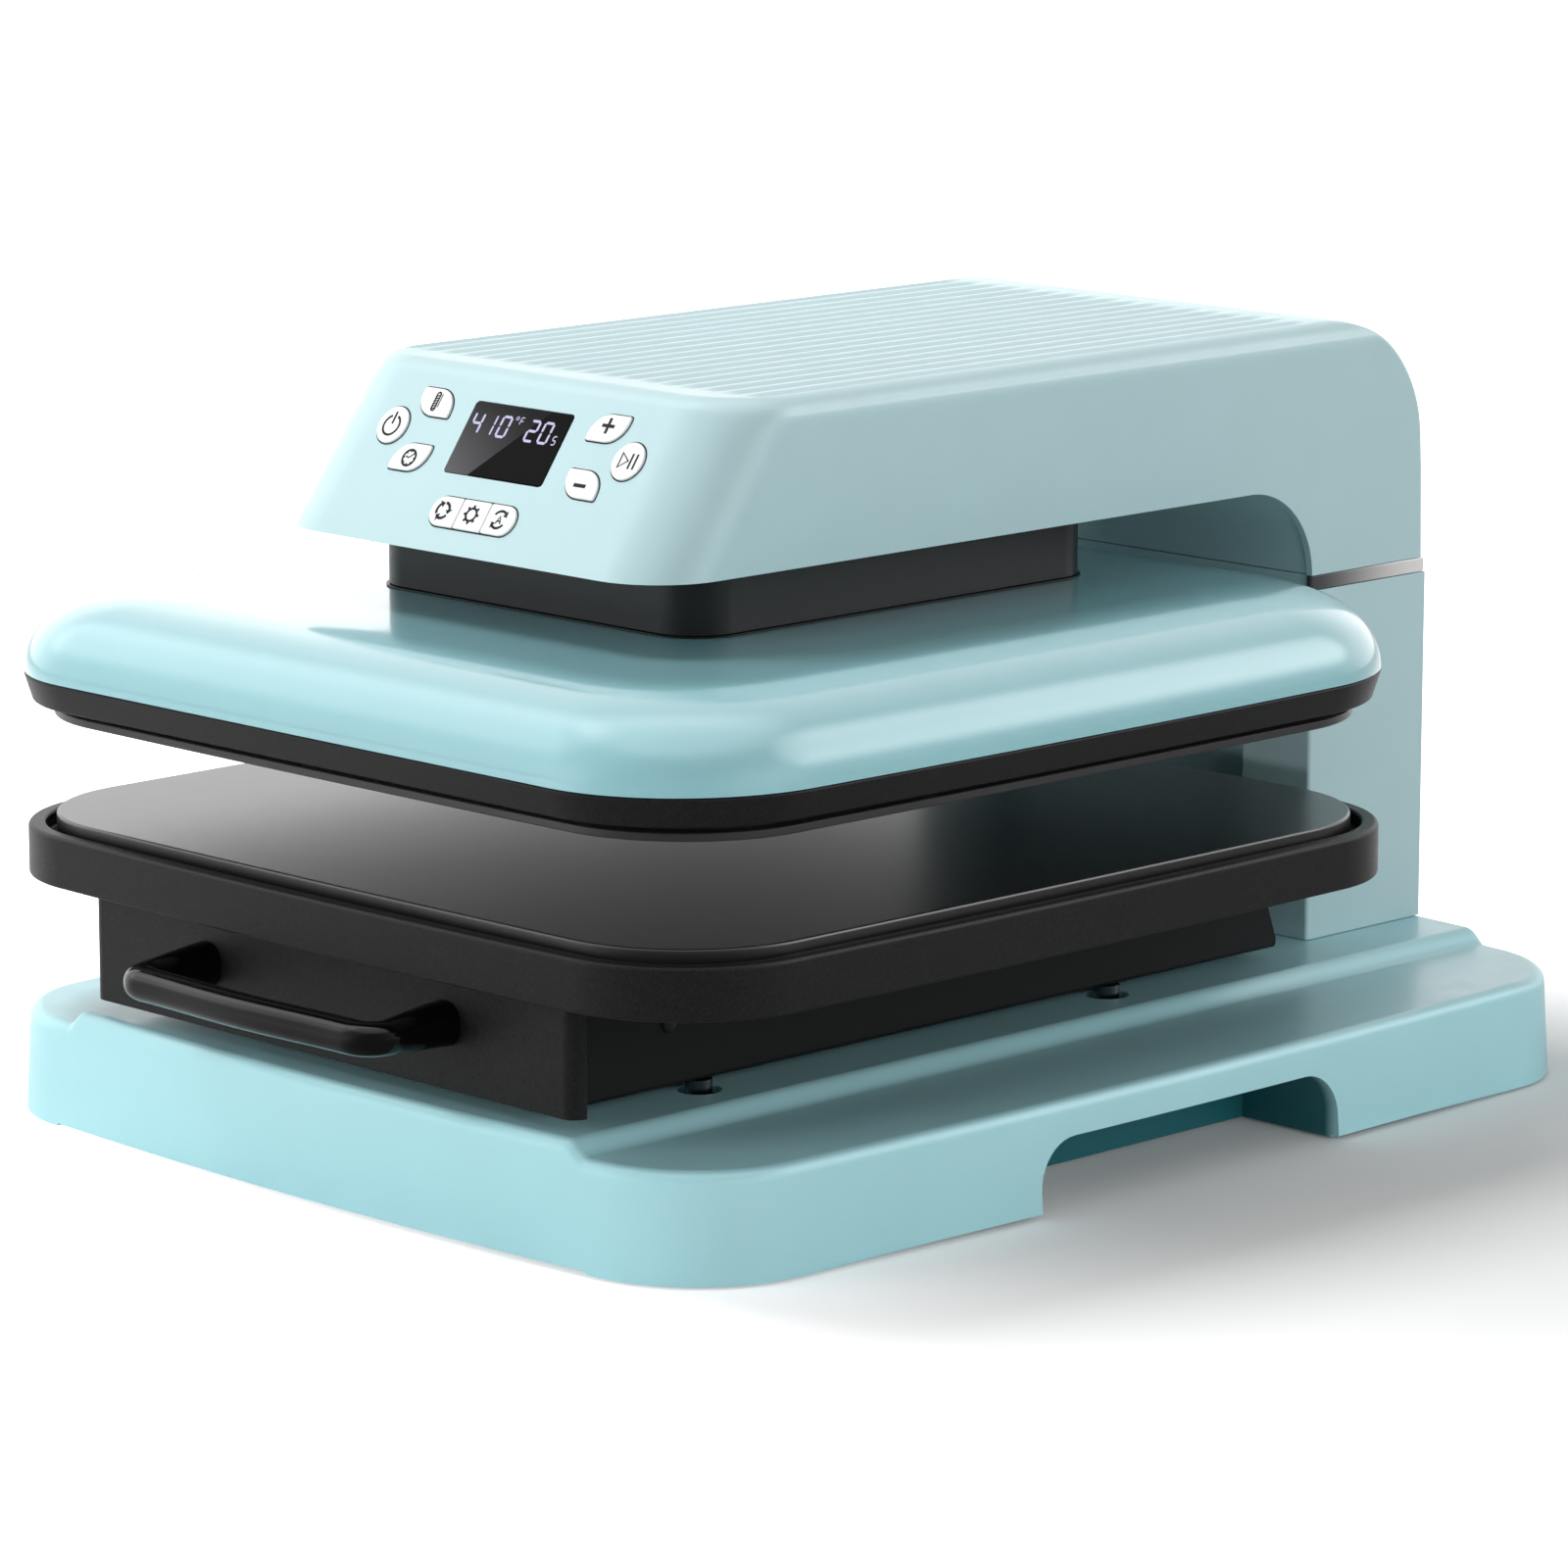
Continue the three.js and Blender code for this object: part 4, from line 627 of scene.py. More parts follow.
# The posts' chrome darkened: a painted reflection of the dark surroundings it mirrors.
brushed("steel_painted_dark_reflection", 0x5E6163, 0.2, UPRIGHT)
brushed("steel", 0xA4A6A8, 0.36, ACROSS)
moulded("plate_aluminium", 0x3B3B3D, 0.38, 1.2, 0.01, 0.06, Metallic=0.4)
brushed("brass", 0xC6A45C, 0.35, UPRIGHT)
moulded("foot_rubber", 0x1E1E1E, 0.8, 0.7, 0.05, 0.08)
moulded("white_key", 0xE9EAEB, 0.38, 0.5, 0.006, 0.01)
moulded("board", 0x1E5B3A, 0.45, 3, 0.03, 0.12)
moulded("gear_plastic", 0xD8D6CC, 0.45, 1, 0.01, 0.03)
felted("insulation_wool", 0xD9D2BD)
moulded("ink", 0x1C1D1F, 0.6, 0.5, 0.002, 0.05, Specular_IOR_Level=0.2)
glowing("display_light", 0xCDC8F0, 0.9)
SLOT_OF = {
    "ink": "black_plastic", "display_light": "white_key", "head_shell": "teal_shell",
    "neck_sheet": "black_sheet", "display_glass": "black_gloss", "steel_painted_dark_reflection": "bright_steel",
}

# CAD nodes that stay as they are and only take a finish
PLAIN_NODES = {
    "steel": ("base_frame", "column_frame", "head_frame", "bed_tie_plate", "drawer_runner_left",
              "drawer_runner_right", "press_yoke", "screw_bearing", "motor_pinion"),
    "bright_steel": ("lead_screw", "guide_rod_left", "guide_rod_right"),
    "brass": ("lead_nut",), "gear_plastic": ("screw_gear",), "black_plastic": ("drive_motor",),
    "board": ("control_board", "power_board"), "insulation_wool": ("insulation",),
}


def paint_nodes():
    for finish, names in PLAIN_NODES.items():
        for name in names:
            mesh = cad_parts[name].data
            mesh.materials.clear()
            mesh.materials.append(materials[finish])


# Base
def plateau_share(x):
    """0 on the side shoulders and 1 on the raised plateau, with soft turns at both ends of the slope."""
    place = (PLATEAU_FOOT - abs(x)) / PLATEAU_SLOPE
    soft = SLOPE_SOFTNESS / PLATEAU_SLOPE

    def summed(t):
        return 0 if t < 0 else t * t / 2 if t < 1 else t - 0.5

    return (summed(place + soft) - summed(place - soft)) / (2 * soft)


def base_floor(x, y):
    """The rim reaches lower at the four corners."""
    return BASE_RIM - (LIP_DROP if abs(x) > LIP_X and abs(y) > LIP_Y else 0)


def base_body(name, inset, low):
    rings = [[(x, y, low(x, y)) for x, y in base_outline.ring(inset)]]
    for shift, drop in edge_steps(BASE_EDGE):
        rings.append([(x, y, BASE_HIGH.z - SHOULDER_DROP * (1 - plateau_share(x)) - inset - drop)
                      for x, y in base_outline.ring(inset + BASE_DRAFT + shift)])
    return loft(name, rings, "strips")


def pocket_outline(grow):
    radius = POCKET_CORNER + grow
    return rounded_box(POCKET_FRONT - grow, POCKET_BACK + grow, -OVERRUN, POCKET_TOP + grow,
                       GAP, GAP, radius, radius)


def build_base():
    lip_reach, hole_edge, room = 8, 0.7, Vector((2, 2, 0))
    shell = base_body("base_moulding", 0, base_floor)
    cut(shell, base_body("hollow", BASE_WALL, lambda x, y: -OVERRUN))
    for side in (-1, 1):
        near, far = POCKET_X, BASE_HIGH.x + OVERRUN
        walls = prism("walls", pocket_outline(BASE_WALL), "x", side * (near - BASE_WALL), side * far)
        combine("UNION", shell, combine("INTERSECT", walls, base_body("outer", 0, base_floor)))
        cut(shell, prism("pocket", pocket_outline(0), "x", side * near, side * (far + OVERRUN)))
    top = BASE_HIGH.z
    holes = [prism("hole", circle(x, y, POST_HOLE_RADIUS), "z", top - 2 * OVERRUN, top + OVERRUN)
             for _, x, y in POSTS]
    frame_low, frame_high = span("column_frame")
    holes.append(block("opening", (*(frame_low - room)[:2], top - 2 * OVERRUN),
                       (*(frame_high + room)[:2], top + OVERRUN)))
    cut(shell, gather("holes", holes))

    def on_lip(x, y, z):
        return (abs(x) > base_outline.half_x - lip_reach and z > BASE_RIM + GAP
                and POCKET_FRONT - 1 < y < POCKET_BACK + 1 and z < POCKET_TOP + 1)

    def on_hole(x, y, z):
        return z > top - GAP and any(hypot(x - a, y - b) < POST_HOLE_RADIUS + 1 for _, a, b in POSTS)

    round_edges(shell, POCKET_LIP, on_lip, 5, 50)
    round_edges(shell, hole_edge, on_hole, 3, 50)
    dress(shell, "teal_shell", "press", "base_shell")


def build_bottom_cover():
    recess_x, recess_radius, recess_depth, pocket_height = 128, 6, 1.2, 20
    low, high = span("bottom_cover")
    inset = BASE_WALL + BASE_DRAFT / 2 + GAP
    cover = base_outline.stack("bottom_plate", [(inset, low.z), (inset, high.z)])
    reach = BASE_WALL + GAP
    cutters = []
    for side in (-1, 1):
        near, far = sorted((side * (POCKET_X - reach), side * (BASE_HIGH.x + OVERRUN)))
        cutters.append(block("pocket", (near, POCKET_FRONT - reach, 0),
                             (far, POCKET_BACK + reach, pocket_height)))
        for y in (-215, -120, 120, 215):
            outline = circle(side * recess_x, y, recess_radius)
            cutters.append(prism("recess", outline, "z", 0, low.z + recess_depth))
    cut(cover, gather("recesses", cutters))
    dress(cover, "black_plastic", "press", "bottom_cover")


def build_feet():
    lip = 1.4
    for corner in CORNERS:
        name = f"foot_{corner}"
        low, high = span(name)
        radius = (high.x - low.x) / 2
        bend = [(radius - lip + lip * sin(a), lip - lip * cos(a)) for a in quarter(5)]
        profile = [(radius - lip * 2, 0), *bend, (radius, high.z)]
        foot = turned(f"{name}_rubber", profile, *centre(name))
        dress(foot, "foot_rubber", "press", name)


def build_posts():
    radius, edge, collar_edge, collar_height = 5, 0.8, 0.5, 2.9
    for corner, x, y in POSTS:
        name = f"bed_post_{corner}"
        low, high = span(name)
        bottom = span(f"post_spring_{corner}")[1].z + GAP
        top = bottom + collar_height
        collar = (high.x - low.x) / 2
        profile = [
            (radius - edge, low.z), (radius, low.z + edge), (radius, bottom), (collar - collar_edge, bottom),
            (collar, bottom + collar_edge), (collar, top - collar_edge), (collar - collar_edge, top),
            (radius, top), (radius, high.z - edge / 2), (radius - edge / 2, high.z),
        ]
        dress(turned(f"{name}_rod", profile, x, y), "steel_painted_dark_reflection", "bed", name)


def build_springs():
    turns, steps, sides, wire, travel = 7, 28, 10, 0.8, 3.5
    for corner, x, y in POSTS:
        name = f"post_spring_{corner}"
        low, high = span(name)
        radius = (high.x - low.x) / 2 - wire
        rings = []
        for i in range(turns * steps + 1):
            share = i / (turns * steps)
            angle = 2 * pi * turns * share
            out = Vector((cos(angle), sin(angle), 0))
            middle = Vector((x, y, low.z + wire + (high.z - low.z - 2 * wire) * share)) + out * radius
            rings.append([tuple(middle + wire * (out * c + Vector((0, 0, s))))
                          for c, s in circle(0, 0, 1, sides)])
        spring = dress(loft(f"{name}_coil", rings), "steel", "press", name)
        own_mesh(spring)


# Bed and drawer
def build_channels():
    wall, width, bend, edge, slant = 2.6, 14, 2.2, 0.6, 15.96
    for side, name in SIDES:
        name = f"bed_channel_{name}"
        low, high = span(name)
        outer = high.x if side > 0 else low.x
        inner, flange, floor = outer - side * wall, outer - side * width, low.z
        section = filleted([
            (outer, floor, bend), (outer, high.z, edge), (inner, high.z, edge),
            (inner, floor + wall, edge), (flange, floor + wall, edge), (flange, floor, edge)])
        channel = prism(f"{name}_bent", section, "y", low.y, high.y)
        outline = [(high.y, floor + 4), (high.y + OVERRUN, floor + 4), (high.y + OVERRUN, high.z + OVERRUN),
                   (high.y - slant, high.z + OVERRUN)]
        cut(channel, prism("slant", outline, "x", outer - side * 40, outer + side * OVERRUN))
        dress(channel, "black_sheet", "bed", name)


def build_channel_screws():
    """Domed screw heads on the outer faces of the channels."""
    radius, height, rim, z = 3.6, 2.2, 0.5, 76
    dome = [(radius, -0.02)]
    dome += [(radius * cos(a), rim + (height - rim) * sin(a)) for a in quarter(8)[:-1]]
    screws = []
    for side, name in SIDES:
        low, high = span(f"bed_channel_{name}")
        face = high.x if side > 0 else low.x
        for y in (-182, 92):
            screws.append(turned("screw", [(r, face + side * out) for r, out in dome], y, z, "x", 32))
    dress(gather("channel_screws", screws), "black_plastic", "bed")


def build_drawer_front():
    corner, sheet = 6, 2.6
    low, high = span("drawer_front")
    body = prism("drawer_front_plate", rounded_box(
        low.x, high.x, low.y, high.y, corner, corner, GAP, GAP), "z", low.z, high.z)
    inner = corner - sheet
    cut(body, prism("cavity", rounded_box(
        low.x + sheet, high.x - sheet, low.y + sheet, high.y + OVERRUN, inner, inner, GAP, GAP),
        "z", low.z + sheet, high.z + OVERRUN))
    round_edges(body, 0.6, lambda x, y, z: y < high.y - 1 and (z < low.z + GAP or z > high.z - GAP))
    dress(body, "black_cast", "drawer", "drawer_front")


def build_handle():
    """Bow handle with a softly squared bar, from its left foot to its right foot."""
    post_x, post_z, bar_z, reach, bow, bend = 66.3, 76.4, 75.2, 34.8, 2, 9
    depth, height, foot, squareness, sides = 7.4, 6.2, 8.4, 0.86, 40
    front = span("drawer_front")[0].y
    wall, bar = front - GAP, front - reach
    straight_x, straight_y = post_x - bend, bar + bend
    half = [(post_x, wall + (straight_y - wall) * i / 6) for i in range(6)]
    half += [(straight_x + bend * cos(a), straight_y - bend * sin(a)) for a in quarter(12)]
    for i in range(1, 16):
        x = straight_x * (1 - i / 16)
        half.append((x, bar - bow * (0.5 + 0.5 * cos(pi * x / straight_x))))
    path = [Vector(spot) for spot in [(-x, y) for x, y in half] + [(0, bar - bow)] + half[::-1]]
    wall = path[0].y
    rings = []
    for i, spot in enumerate(path):
        ahead = (path[min(i + 1, len(path) - 1)] - path[max(i - 1, 0)]).normalized()
        out = wall - spot.y
        z = post_z + (bar_z - post_z) * smooth_step(out / (wall - bar))
        nearness = max(0, 1 - out / (reach - bend))
        ring = []
        for c, s in circle(0, 0, 1, sides):
            a = copysign(abs(c) ** squareness, c) * (depth + (foot - depth) * nearness)
            b = copysign(abs(s) ** squareness, s) * (height + (foot - height) * nearness)
            ring.append((spot.x - ahead.y * a, spot.y + ahead.x * a, z + b))
        rings.append(ring)
    dress(loft("drawer_handle_bow", rings), "black_gloss", "drawer", "drawer_handle", smooth=50)


def build_tray():
    rim, undercut, skirt, rib_inner, rib_outer, groove = 6.6, 8, 14, 91, 129, 0.6
    low, high = span("tray")
    bed = span("pad")[0].z - GAP
    levels = rounded_foot(0.8, low.z) + rounded_top(2, high.z)
    levels += [(rim - shift, z) for shift, z in reversed(rounded_top(1.2, high.z))]
    tray = tray_outline.stack("tray_casting", levels + [(rim, bed + groove), (rim + groove, bed)])
    under, roof = low.z - OVERRUN, low.z + undercut
    cutters = [block("hollow", (-rib_inner, low.y + 2 * skirt, under), (rib_inner, high.y - 2 * skirt, roof))]
    for side in (-1, 1):
        near, far = sorted((side * rib_outer, side * (high.x - skirt)))
        cutters.append(block("hollow", (near, low.y + tray_outline.corner, under),
                             (far, high.y - tray_outline.corner, roof)))
    cut(tray, gather("hollows", cutters))
    dress(tray, "black_cast", "drawer", "tray")


def build_pad():
    low, high = span("pad")
    pad = pad_outline.stack("press_pad", [(0, low.z)] + rounded_top(1.2, high.z, 4))
    dress(pad, "pad_rubber", "drawer", "pad")


# Upper platen and neck
def build_heat_plate():
    edge, lip = 0.6, 3.2
    low, high = span("heat_plate")
    levels = rounded_foot(edge, low.z, 4) + rounded_top(edge, low.z + lip, 4)
    plate = pad_outline.stack("heating_plate", levels + [(PLATE_STEP, low.z + lip), (PLATE_STEP, high.z)])
    dress(plate, "plate_aluminium", "platen", "heat_plate")


def build_platen_rim():
    taper, edge = 2.8, 0.9
    low, high = span("platen_rim")
    levels = [(taper + shift, z) for shift, z in rounded_foot(edge, low.z, 4)]
    rings = [platen_outline.level(inset, z) for inset, z in levels + rounded_top(edge, high.z, 4)]
    rings += [pad_outline.level(PLATE_STEP - GAP, z) for z in (high.z, low.z)]
    dress(loft("platen_skirt", rings, "joined"), "black_cast", "platen", "platen_rim")


def dome_rings(inset, base, top):
    """Levels of the domed cover, whose curve eases into its flat crown."""
    rings = []
    for angle in quarter(DOME_STEPS):
        shift = DOME_REACH * (1 - max(cos(angle), 0) ** (2 / DOME_SHARE))
        rings.append(platen_outline.level(inset + shift, base + (top - base) * sin(angle), DOME_CORNER_SHARE))
    return rings


def build_platen_cover():
    low, high = span("platen_cover")
    cover = loft("platen_dome", dome_rings(0, low.z, high.z))
    floor = platen_outline.level(COVER_WALL, low.z - COVER_WALL - OVERRUN, DOME_CORNER_SHARE)
    cut(cover, loft("hollow", [floor] + dome_rings(COVER_WALL, low.z - COVER_WALL, high.z - COVER_WALL)))
    yoke_low, yoke_high = span("press_yoke")
    cut(cover, block("opening", (*yoke_low[:2], low.z), (*yoke_high[:2], high.z + OVERRUN)))
    dress(cover, "gloss_teal", "platen", "platen_cover", smooth=40)


def neck_ring(grow, z):
    """Rounded rectangle concentric with the neck's outer skirt."""
    (left, front), (right, back) = NECK_LOW, NECK_HIGH
    outline = rounded_box(left - grow, right + grow, front - grow, back + grow, NECK_CORNER + grow)
    return [(x, y, z) for x, y in outline]


def build_neck():
    """A skirt on the head, and one on the platen that slides inside it and has a foot all round."""
    foot_reach, foot_height, slant, play, thickness = 1.1, 0.4, 0.02, 0.4, 2

    def skirt(name, levels, body, replaced):
        rings = [neck_ring(grow, z) for grow, z in levels]
        dress(loft(name, rings, "joined"), "neck_sheet", body, replaced)

    low, high = span("neck_outer_skirt")
    wall = -NECK_WALL
    skirt("neck_skirt", ((0, low.z + GAP), (0, high.z), (wall, high.z), (wall, low.z), (-GAP, low.z)),
          "press", "neck_outer_skirt")
    low, high = span("neck_inner_skirt")
    outer, foot = wall - play, low.z + foot_height
    inner = outer - thickness
    skirt("neck_slide", ((foot_reach, low.z), (foot_reach, foot), (outer, foot + slant), (outer, high.z),
                         (inner, high.z), (inner, low.z)), "platen", "neck_inner_skirt")


# Column, strip and head
def build_column():
    wall, recess, depth, bend = 3, 72, 12.7, 1
    low, high = COLUMN_LOW, COLUMN_HIGH
    half, edge, deep, inside = high.x, COLUMN_EDGE, low.y + depth, low.y + wall
    right = [(recess, deep, bend), (recess, low.y, edge), (half, low.y, edge), (half, high.y, 0),
             (half - wall, high.y, 0), (half - wall, inside, 0), (recess + wall, inside, 0),
             (recess + wall, deep + wall, 0)]
    left = [(-x, y, radius) for x, y, radius in reversed(right)]
    shell = prism("column_casing", filleted(left[4:] + right + left[:4]), "z", low.z, high.z)
    dress(shell, "head_shell", "press", "column_shell")


def build_rear_cover():
    vents, pitch, slot, half, bottom, flange = 6, 10, 4, 45, 115, 3 - GAP
    profile = [(3.4, -0.02), (3.4, 0.5), (2.8, 0.9), (1.4, 1.0)]
    margin_x, margin_z, arm, half_slot, slot_foot = 9, 10, 1.8, 0.35, 0.45
    low, high = span("rear_cover")
    plate = prism("rear_plate", rectangle(low.x, high.x, low.z, high.z), "y", low.y, high.y)
    inlet_low, inlet_high = span("mains_inlet")
    cutters = [block("inlet", (inlet_low.x + flange, low.y - OVERRUN, inlet_low.z + flange),
                     (inlet_high.x - flange, high.y + OVERRUN, inlet_high.z - flange))]
    for z in [bottom + i * pitch for i in range(vents)]:
        outline = rounded_box(-half, half, z, z + slot, slot / 2 - 0.05)
        cutters.append(prism("vent", outline, "y", low.y - OVERRUN, high.y + OVERRUN))
    cut(plate, gather("slots", cutters))
    round_edges(plate, 0.5, lambda x, y, z: y > high.y - GAP, 2)
    dress(plate, "head_shell", "press", "rear_cover")
    screws = []
    for x in (low.x + margin_x, high.x - margin_x):
        for z in (low.z + margin_z, high.z - margin_z):
            head = turned("screw", [(radius, high.y + out) for radius, out in profile], x, z, "y", 32)
            for c, s in ((1, 0), (0, 1)):
                cross = [(x + a * c - b * s, z + a * s + b * c)
                         for a, b in rectangle(-arm, arm, -half_slot, half_slot)]
                cut(head, prism("slot", cross, "y", high.y + slot_foot, high.y + OVERRUN / 2))
            screws.append(head)
    dress(gather("rear_screws", screws), "steel", "press")


def build_strip():
    inset, apron = 9, APRON_HALF + GAP
    low, high = span("trim_strip")
    under, over = low.z - OVERRUN, high.z + OVERRUN
    strip = prism("silver_strip", rounded_box(low.x, high.x, low.y, high.y, COLUMN_EDGE), "z", low.z, high.z)
    cut(strip, block("hole", (low.x + inset, low.y + inset, under),
                     (high.x - inset, high.y - inset + GAP, over)))
    cut(strip, block("front", (-apron, low.y - OVERRUN, under), (apron, APRON_BACK + GAP, over)))
    round_edges(strip, 0.35, lambda x, y, z: abs(x) > high.x - 1 or y < low.y + 1 or y > high.y - 1, 2, 50)
    dress(strip, "silver_trim", "press", "trim_strip")


def round_off(radius, climb):
    climb = min(max(climb, 0), radius)
    return radius - sqrt(radius * radius - climb * climb)


def head_ring(z, inset):
    """Level section of the head: leaning front, drafted sides, soft upper edges and a large rear curve."""
    rise = max(z - HEAD_BOTTOM, 0)
    below_top = HEAD_TOP - inset - z
    share = rise / (HEAD_TOP - HEAD_BOTTOM)
    side_shift = round_off(HEAD_SIDE_EDGE, HEAD_SIDE_EDGE - below_top)
    half = HEAD_HIGH.x - HEAD_DRAFT * share - side_shift - inset
    front = HEAD_FRONT + rise * tan(HEAD_LEAN) + inset / cos(HEAD_LEAN)
    front += round_off(HEAD_FRONT_EDGE, HEAD_FRONT_EDGE - below_top)
    lean = min(max((z - HEAD_LOW.z) / (REAR_ARC_Z - HEAD_LOW.z), 0), 1)
    back = COLUMN_HIGH.y - REAR_LEAN * lean - inset - round_off(REAR_RADIUS, z + inset - REAR_ARC_Z)
    corner = HEAD_FRONT_CORNER + (HEAD_FRONT_CORNER_TOP - HEAD_FRONT_CORNER) * share
    corner = max(corner - inset - side_shift, HEAD_REAR_CORNER)
    rear = max(HEAD_REAR_CORNER - inset, GAP)
    return [(x, y, z) for x, y in rounded_box(-half, half, front, back, corner, corner, rear, rear)]


def head_body(name, inset, low):
    """The head's solid, with its levels closer together where it curves."""
    levels = [low, HEAD_BOTTOM, REAR_ARC_Z]
    levels += [REAR_ARC_Z + REAR_RADIUS * sin(a) - inset for a in quarter(24)[1:-1]]
    for edge in (HEAD_SIDE_EDGE, HEAD_FRONT_EDGE):
        levels += [HEAD_TOP - inset - edge + edge * sin(a) for a in quarter(10)[1:]]
    spaced = []
    for z in sorted(levels, reverse=True):
        if not spaced or spaced[-1] - z > 0.06:
            spaced.append(z)
    return loft(name, [head_ring(z, inset) for z in reversed(spaced)])


def arch_outline(grow):
    """Side outline of the space under the head, in (y, z)."""
    radius = ARCH_RADIUS + grow
    far, low = BASE_LOW.y - OVERRUN, ARCH_Z - OVERRUN - 20
    outline = [(far, low), (ARCH_Y + radius, low)] + arc(ARCH_Y, ARCH_Z, radius, 0, pi / 2, 28)
    return outline + [(far, HEAD_BOTTOM + grow)]


def panel_point(x, rise, out):
    """Place on the slanted panel. Out is the distance in front of its face."""
    y = HEAD_FRONT + rise * sin(HEAD_LEAN) - out * cos(HEAD_LEAN)
    return (x, y, HEAD_BOTTOM + rise * cos(HEAD_LEAN) + out * sin(HEAD_LEAN))


def panel_piece(name, outline, levels):
    """Solid in the panel. The outline depends on how far it grows, the levels are (grow, out)."""
    return loft(name, [[panel_point(x, rise, out) for x, rise in outline(grow)] for grow, out in levels])


def cap(name, outline, depth, proud, edge, steps):
    """Piece of the panel with a rounded front edge."""
    front = [(-shift, out) for shift, out in rounded_top(edge, proud, steps)[1:]]
    return panel_piece(name, outline, [(0, -depth), (0, proud - edge)] + front)


def grown_box(x, rise, half_x, half_y, grow, *radii):
    return rounded_box(x - half_x - grow, x + half_x + grow,
                       rise - half_y - grow, rise + half_y + grow, *radii)


def disc_key(x, grow):
    return circle(x, ROUND_KEY_RISE, ROUND_KEY_RADIUS + grow, 48)


def leaf_key(x, rise, side, grow):
    sharp, large = LEAF_SHARP + grow, LEAF_ROUND + grow
    return grown_box(x, rise, *LEAF_HALF, grow, *((sharp, large) * 2 if side > 0 else (large, sharp) * 2))


def pill_key(left, right, grow):
    """Part of the row of three, round where it ends the row."""
    end = PILL_HALF[1] + grow - GAP / 2
    small = LEAF_SHARP + min(grow, 0)
    is_left, is_right = left <= -PILL_END, right >= PILL_END
    a, b = end if is_left else small, end if is_right else small
    side = min(grow, 0)
    return rounded_box(left - (grow if is_left else side), right + (grow if is_right else side),
                       PILL_RISE - PILL_HALF[1] - grow, PILL_RISE + PILL_HALF[1] + grow, a, b, b, a)


def display_outline(grow):
    return grown_box(0, DISPLAY_RISE, *DISPLAY_HALF, grow, DISPLAY_CORNER + grow)


PILL_END = PILL_HALF[0]
INNER_SPLIT, OUTER_SPLIT = PILL_SPLIT - GAP / 2, PILL_SPLIT + GAP / 2
pill_row = partial(pill_key, -PILL_END, PILL_END)
KEYS = {
    "key_power": partial(disc_key, -ROUND_KEY_X),
    "key_start_pause": partial(disc_key, ROUND_KEY_X),
    "key_temperature": partial(leaf_key, -LEAF_X, HIGH_RISE, -1),
    "key_timer": partial(leaf_key, -LEAF_X, LOW_RISE, 1),
    "key_plus": partial(leaf_key, LEAF_X, HIGH_RISE, 1),
    "key_minus": partial(leaf_key, LEAF_X, LOW_RISE, -1),
    "key_mode_left": partial(pill_key, -PILL_END, -OUTER_SPLIT),
    "key_mode_middle": partial(pill_key, -INNER_SPLIT, INNER_SPLIT),
    "key_mode_right": partial(pill_key, OUTER_SPLIT, PILL_END),
}
SINGLE_KEYS = [name for name in KEYS if not name.startswith("key_mode")]


def groove_cutter():
    """Everything above the ribbed top: a wave across the head that fades out at both ends."""
    pitch, grooves, depth, lift, fade_reach, steps, per_groove = 11, 18, 1.3, 0.08, 13, 8, 12
    start = HEAD_FRONT + (HEAD_TOP - HEAD_BOTTOM) * tan(HEAD_LEAN) + 11
    end = REAR_ARC_Y - 4
    count, width = grooves * per_groove, grooves * pitch
    stops = [start + fade_reach * i / steps for i in range(steps + 1)]
    stops += [end - fade_reach * (steps - i) / steps for i in range(steps + 1)]
    rings = []
    for y in stops:
        fade = smooth_step((y - start) / fade_reach) * smooth_step((end - y) / fade_reach)
        ring = []
        for i in range(count + 1):
            x = -width / 2 + width * i / count
            wave = 0.5 - 0.5 * cos(2 * pi * x / pitch)
            ring.append((x, y, HEAD_TOP + lift - (depth + lift) * wave * fade))
        rings.append(ring + [(width / 2, y, HEAD_TOP + OVERRUN), (-width / 2, y, HEAD_TOP + OVERRUN)])
    return loft("grooves", rings)


def build_head():
    casing = head_body("head_moulding", 0, HEAD_LOW.z)
    cut(casing, head_body("hollow", HEAD_WALL, HEAD_LOW.z - OVERRUN))
    half = HEAD_HIGH.x + OVERRUN
    cut(casing, prism("arch", arch_outline(0), "x", -half, half))
    openings = [panel_piece("opening", outline, ((GAP, -HEAD_WALL - 2), (GAP, OVERRUN)))
                for outline in [KEYS[name] for name in SINGLE_KEYS] + [display_outline, pill_row]]
    cut(casing, gather("openings", openings))
    cut(casing, groove_cutter())

    def on_edge(x, y, z):
        under = HEAD_BOTTOM - 0.05 < z < HEAD_BOTTOM + 0.05 and y < ARCH_Y + 1
        reach = hypot(y - ARCH_Y, z - ARCH_Z)
        on_arch = y > ARCH_Y and z > ARCH_Z and abs(reach - ARCH_RADIUS) < 0.2
        return (under or on_arch) and (abs(x) > HEAD_HIGH.x - 1 or y < HEAD_FRONT + HEAD_FRONT_CORNER)

    round_edges(casing, 0.5, on_edge, 3, 40)
    dress(casing, "head_shell", "press", "head_casing")


def build_underside():
    half = HEAD_HIGH.x
    panel = prism("underside_panel", arch_outline(UNDERSIDE_RECESS + UNDERSIDE_THICKNESS), "x", -half, half)
    cut(panel, prism("space", arch_outline(UNDERSIDE_RECESS), "x", -half - OVERRUN, half + OVERRUN))
    combine("INTERSECT", panel, head_body("inside", HEAD_WALL + GAP, HEAD_LOW.z + GAP))
    cut(panel, loft("hole", [neck_ring(GAP, z) for z in (HEAD_LOW.z, HEAD_TOP)]))
    combine("UNION", panel, block("apron", (-APRON_HALF, APRON_FRONT, span("trim_strip")[0].z),
                                  (APRON_HALF, APRON_BACK, ARCH_Z)))
    dress(panel, "head_shell", "press", "head_underside")


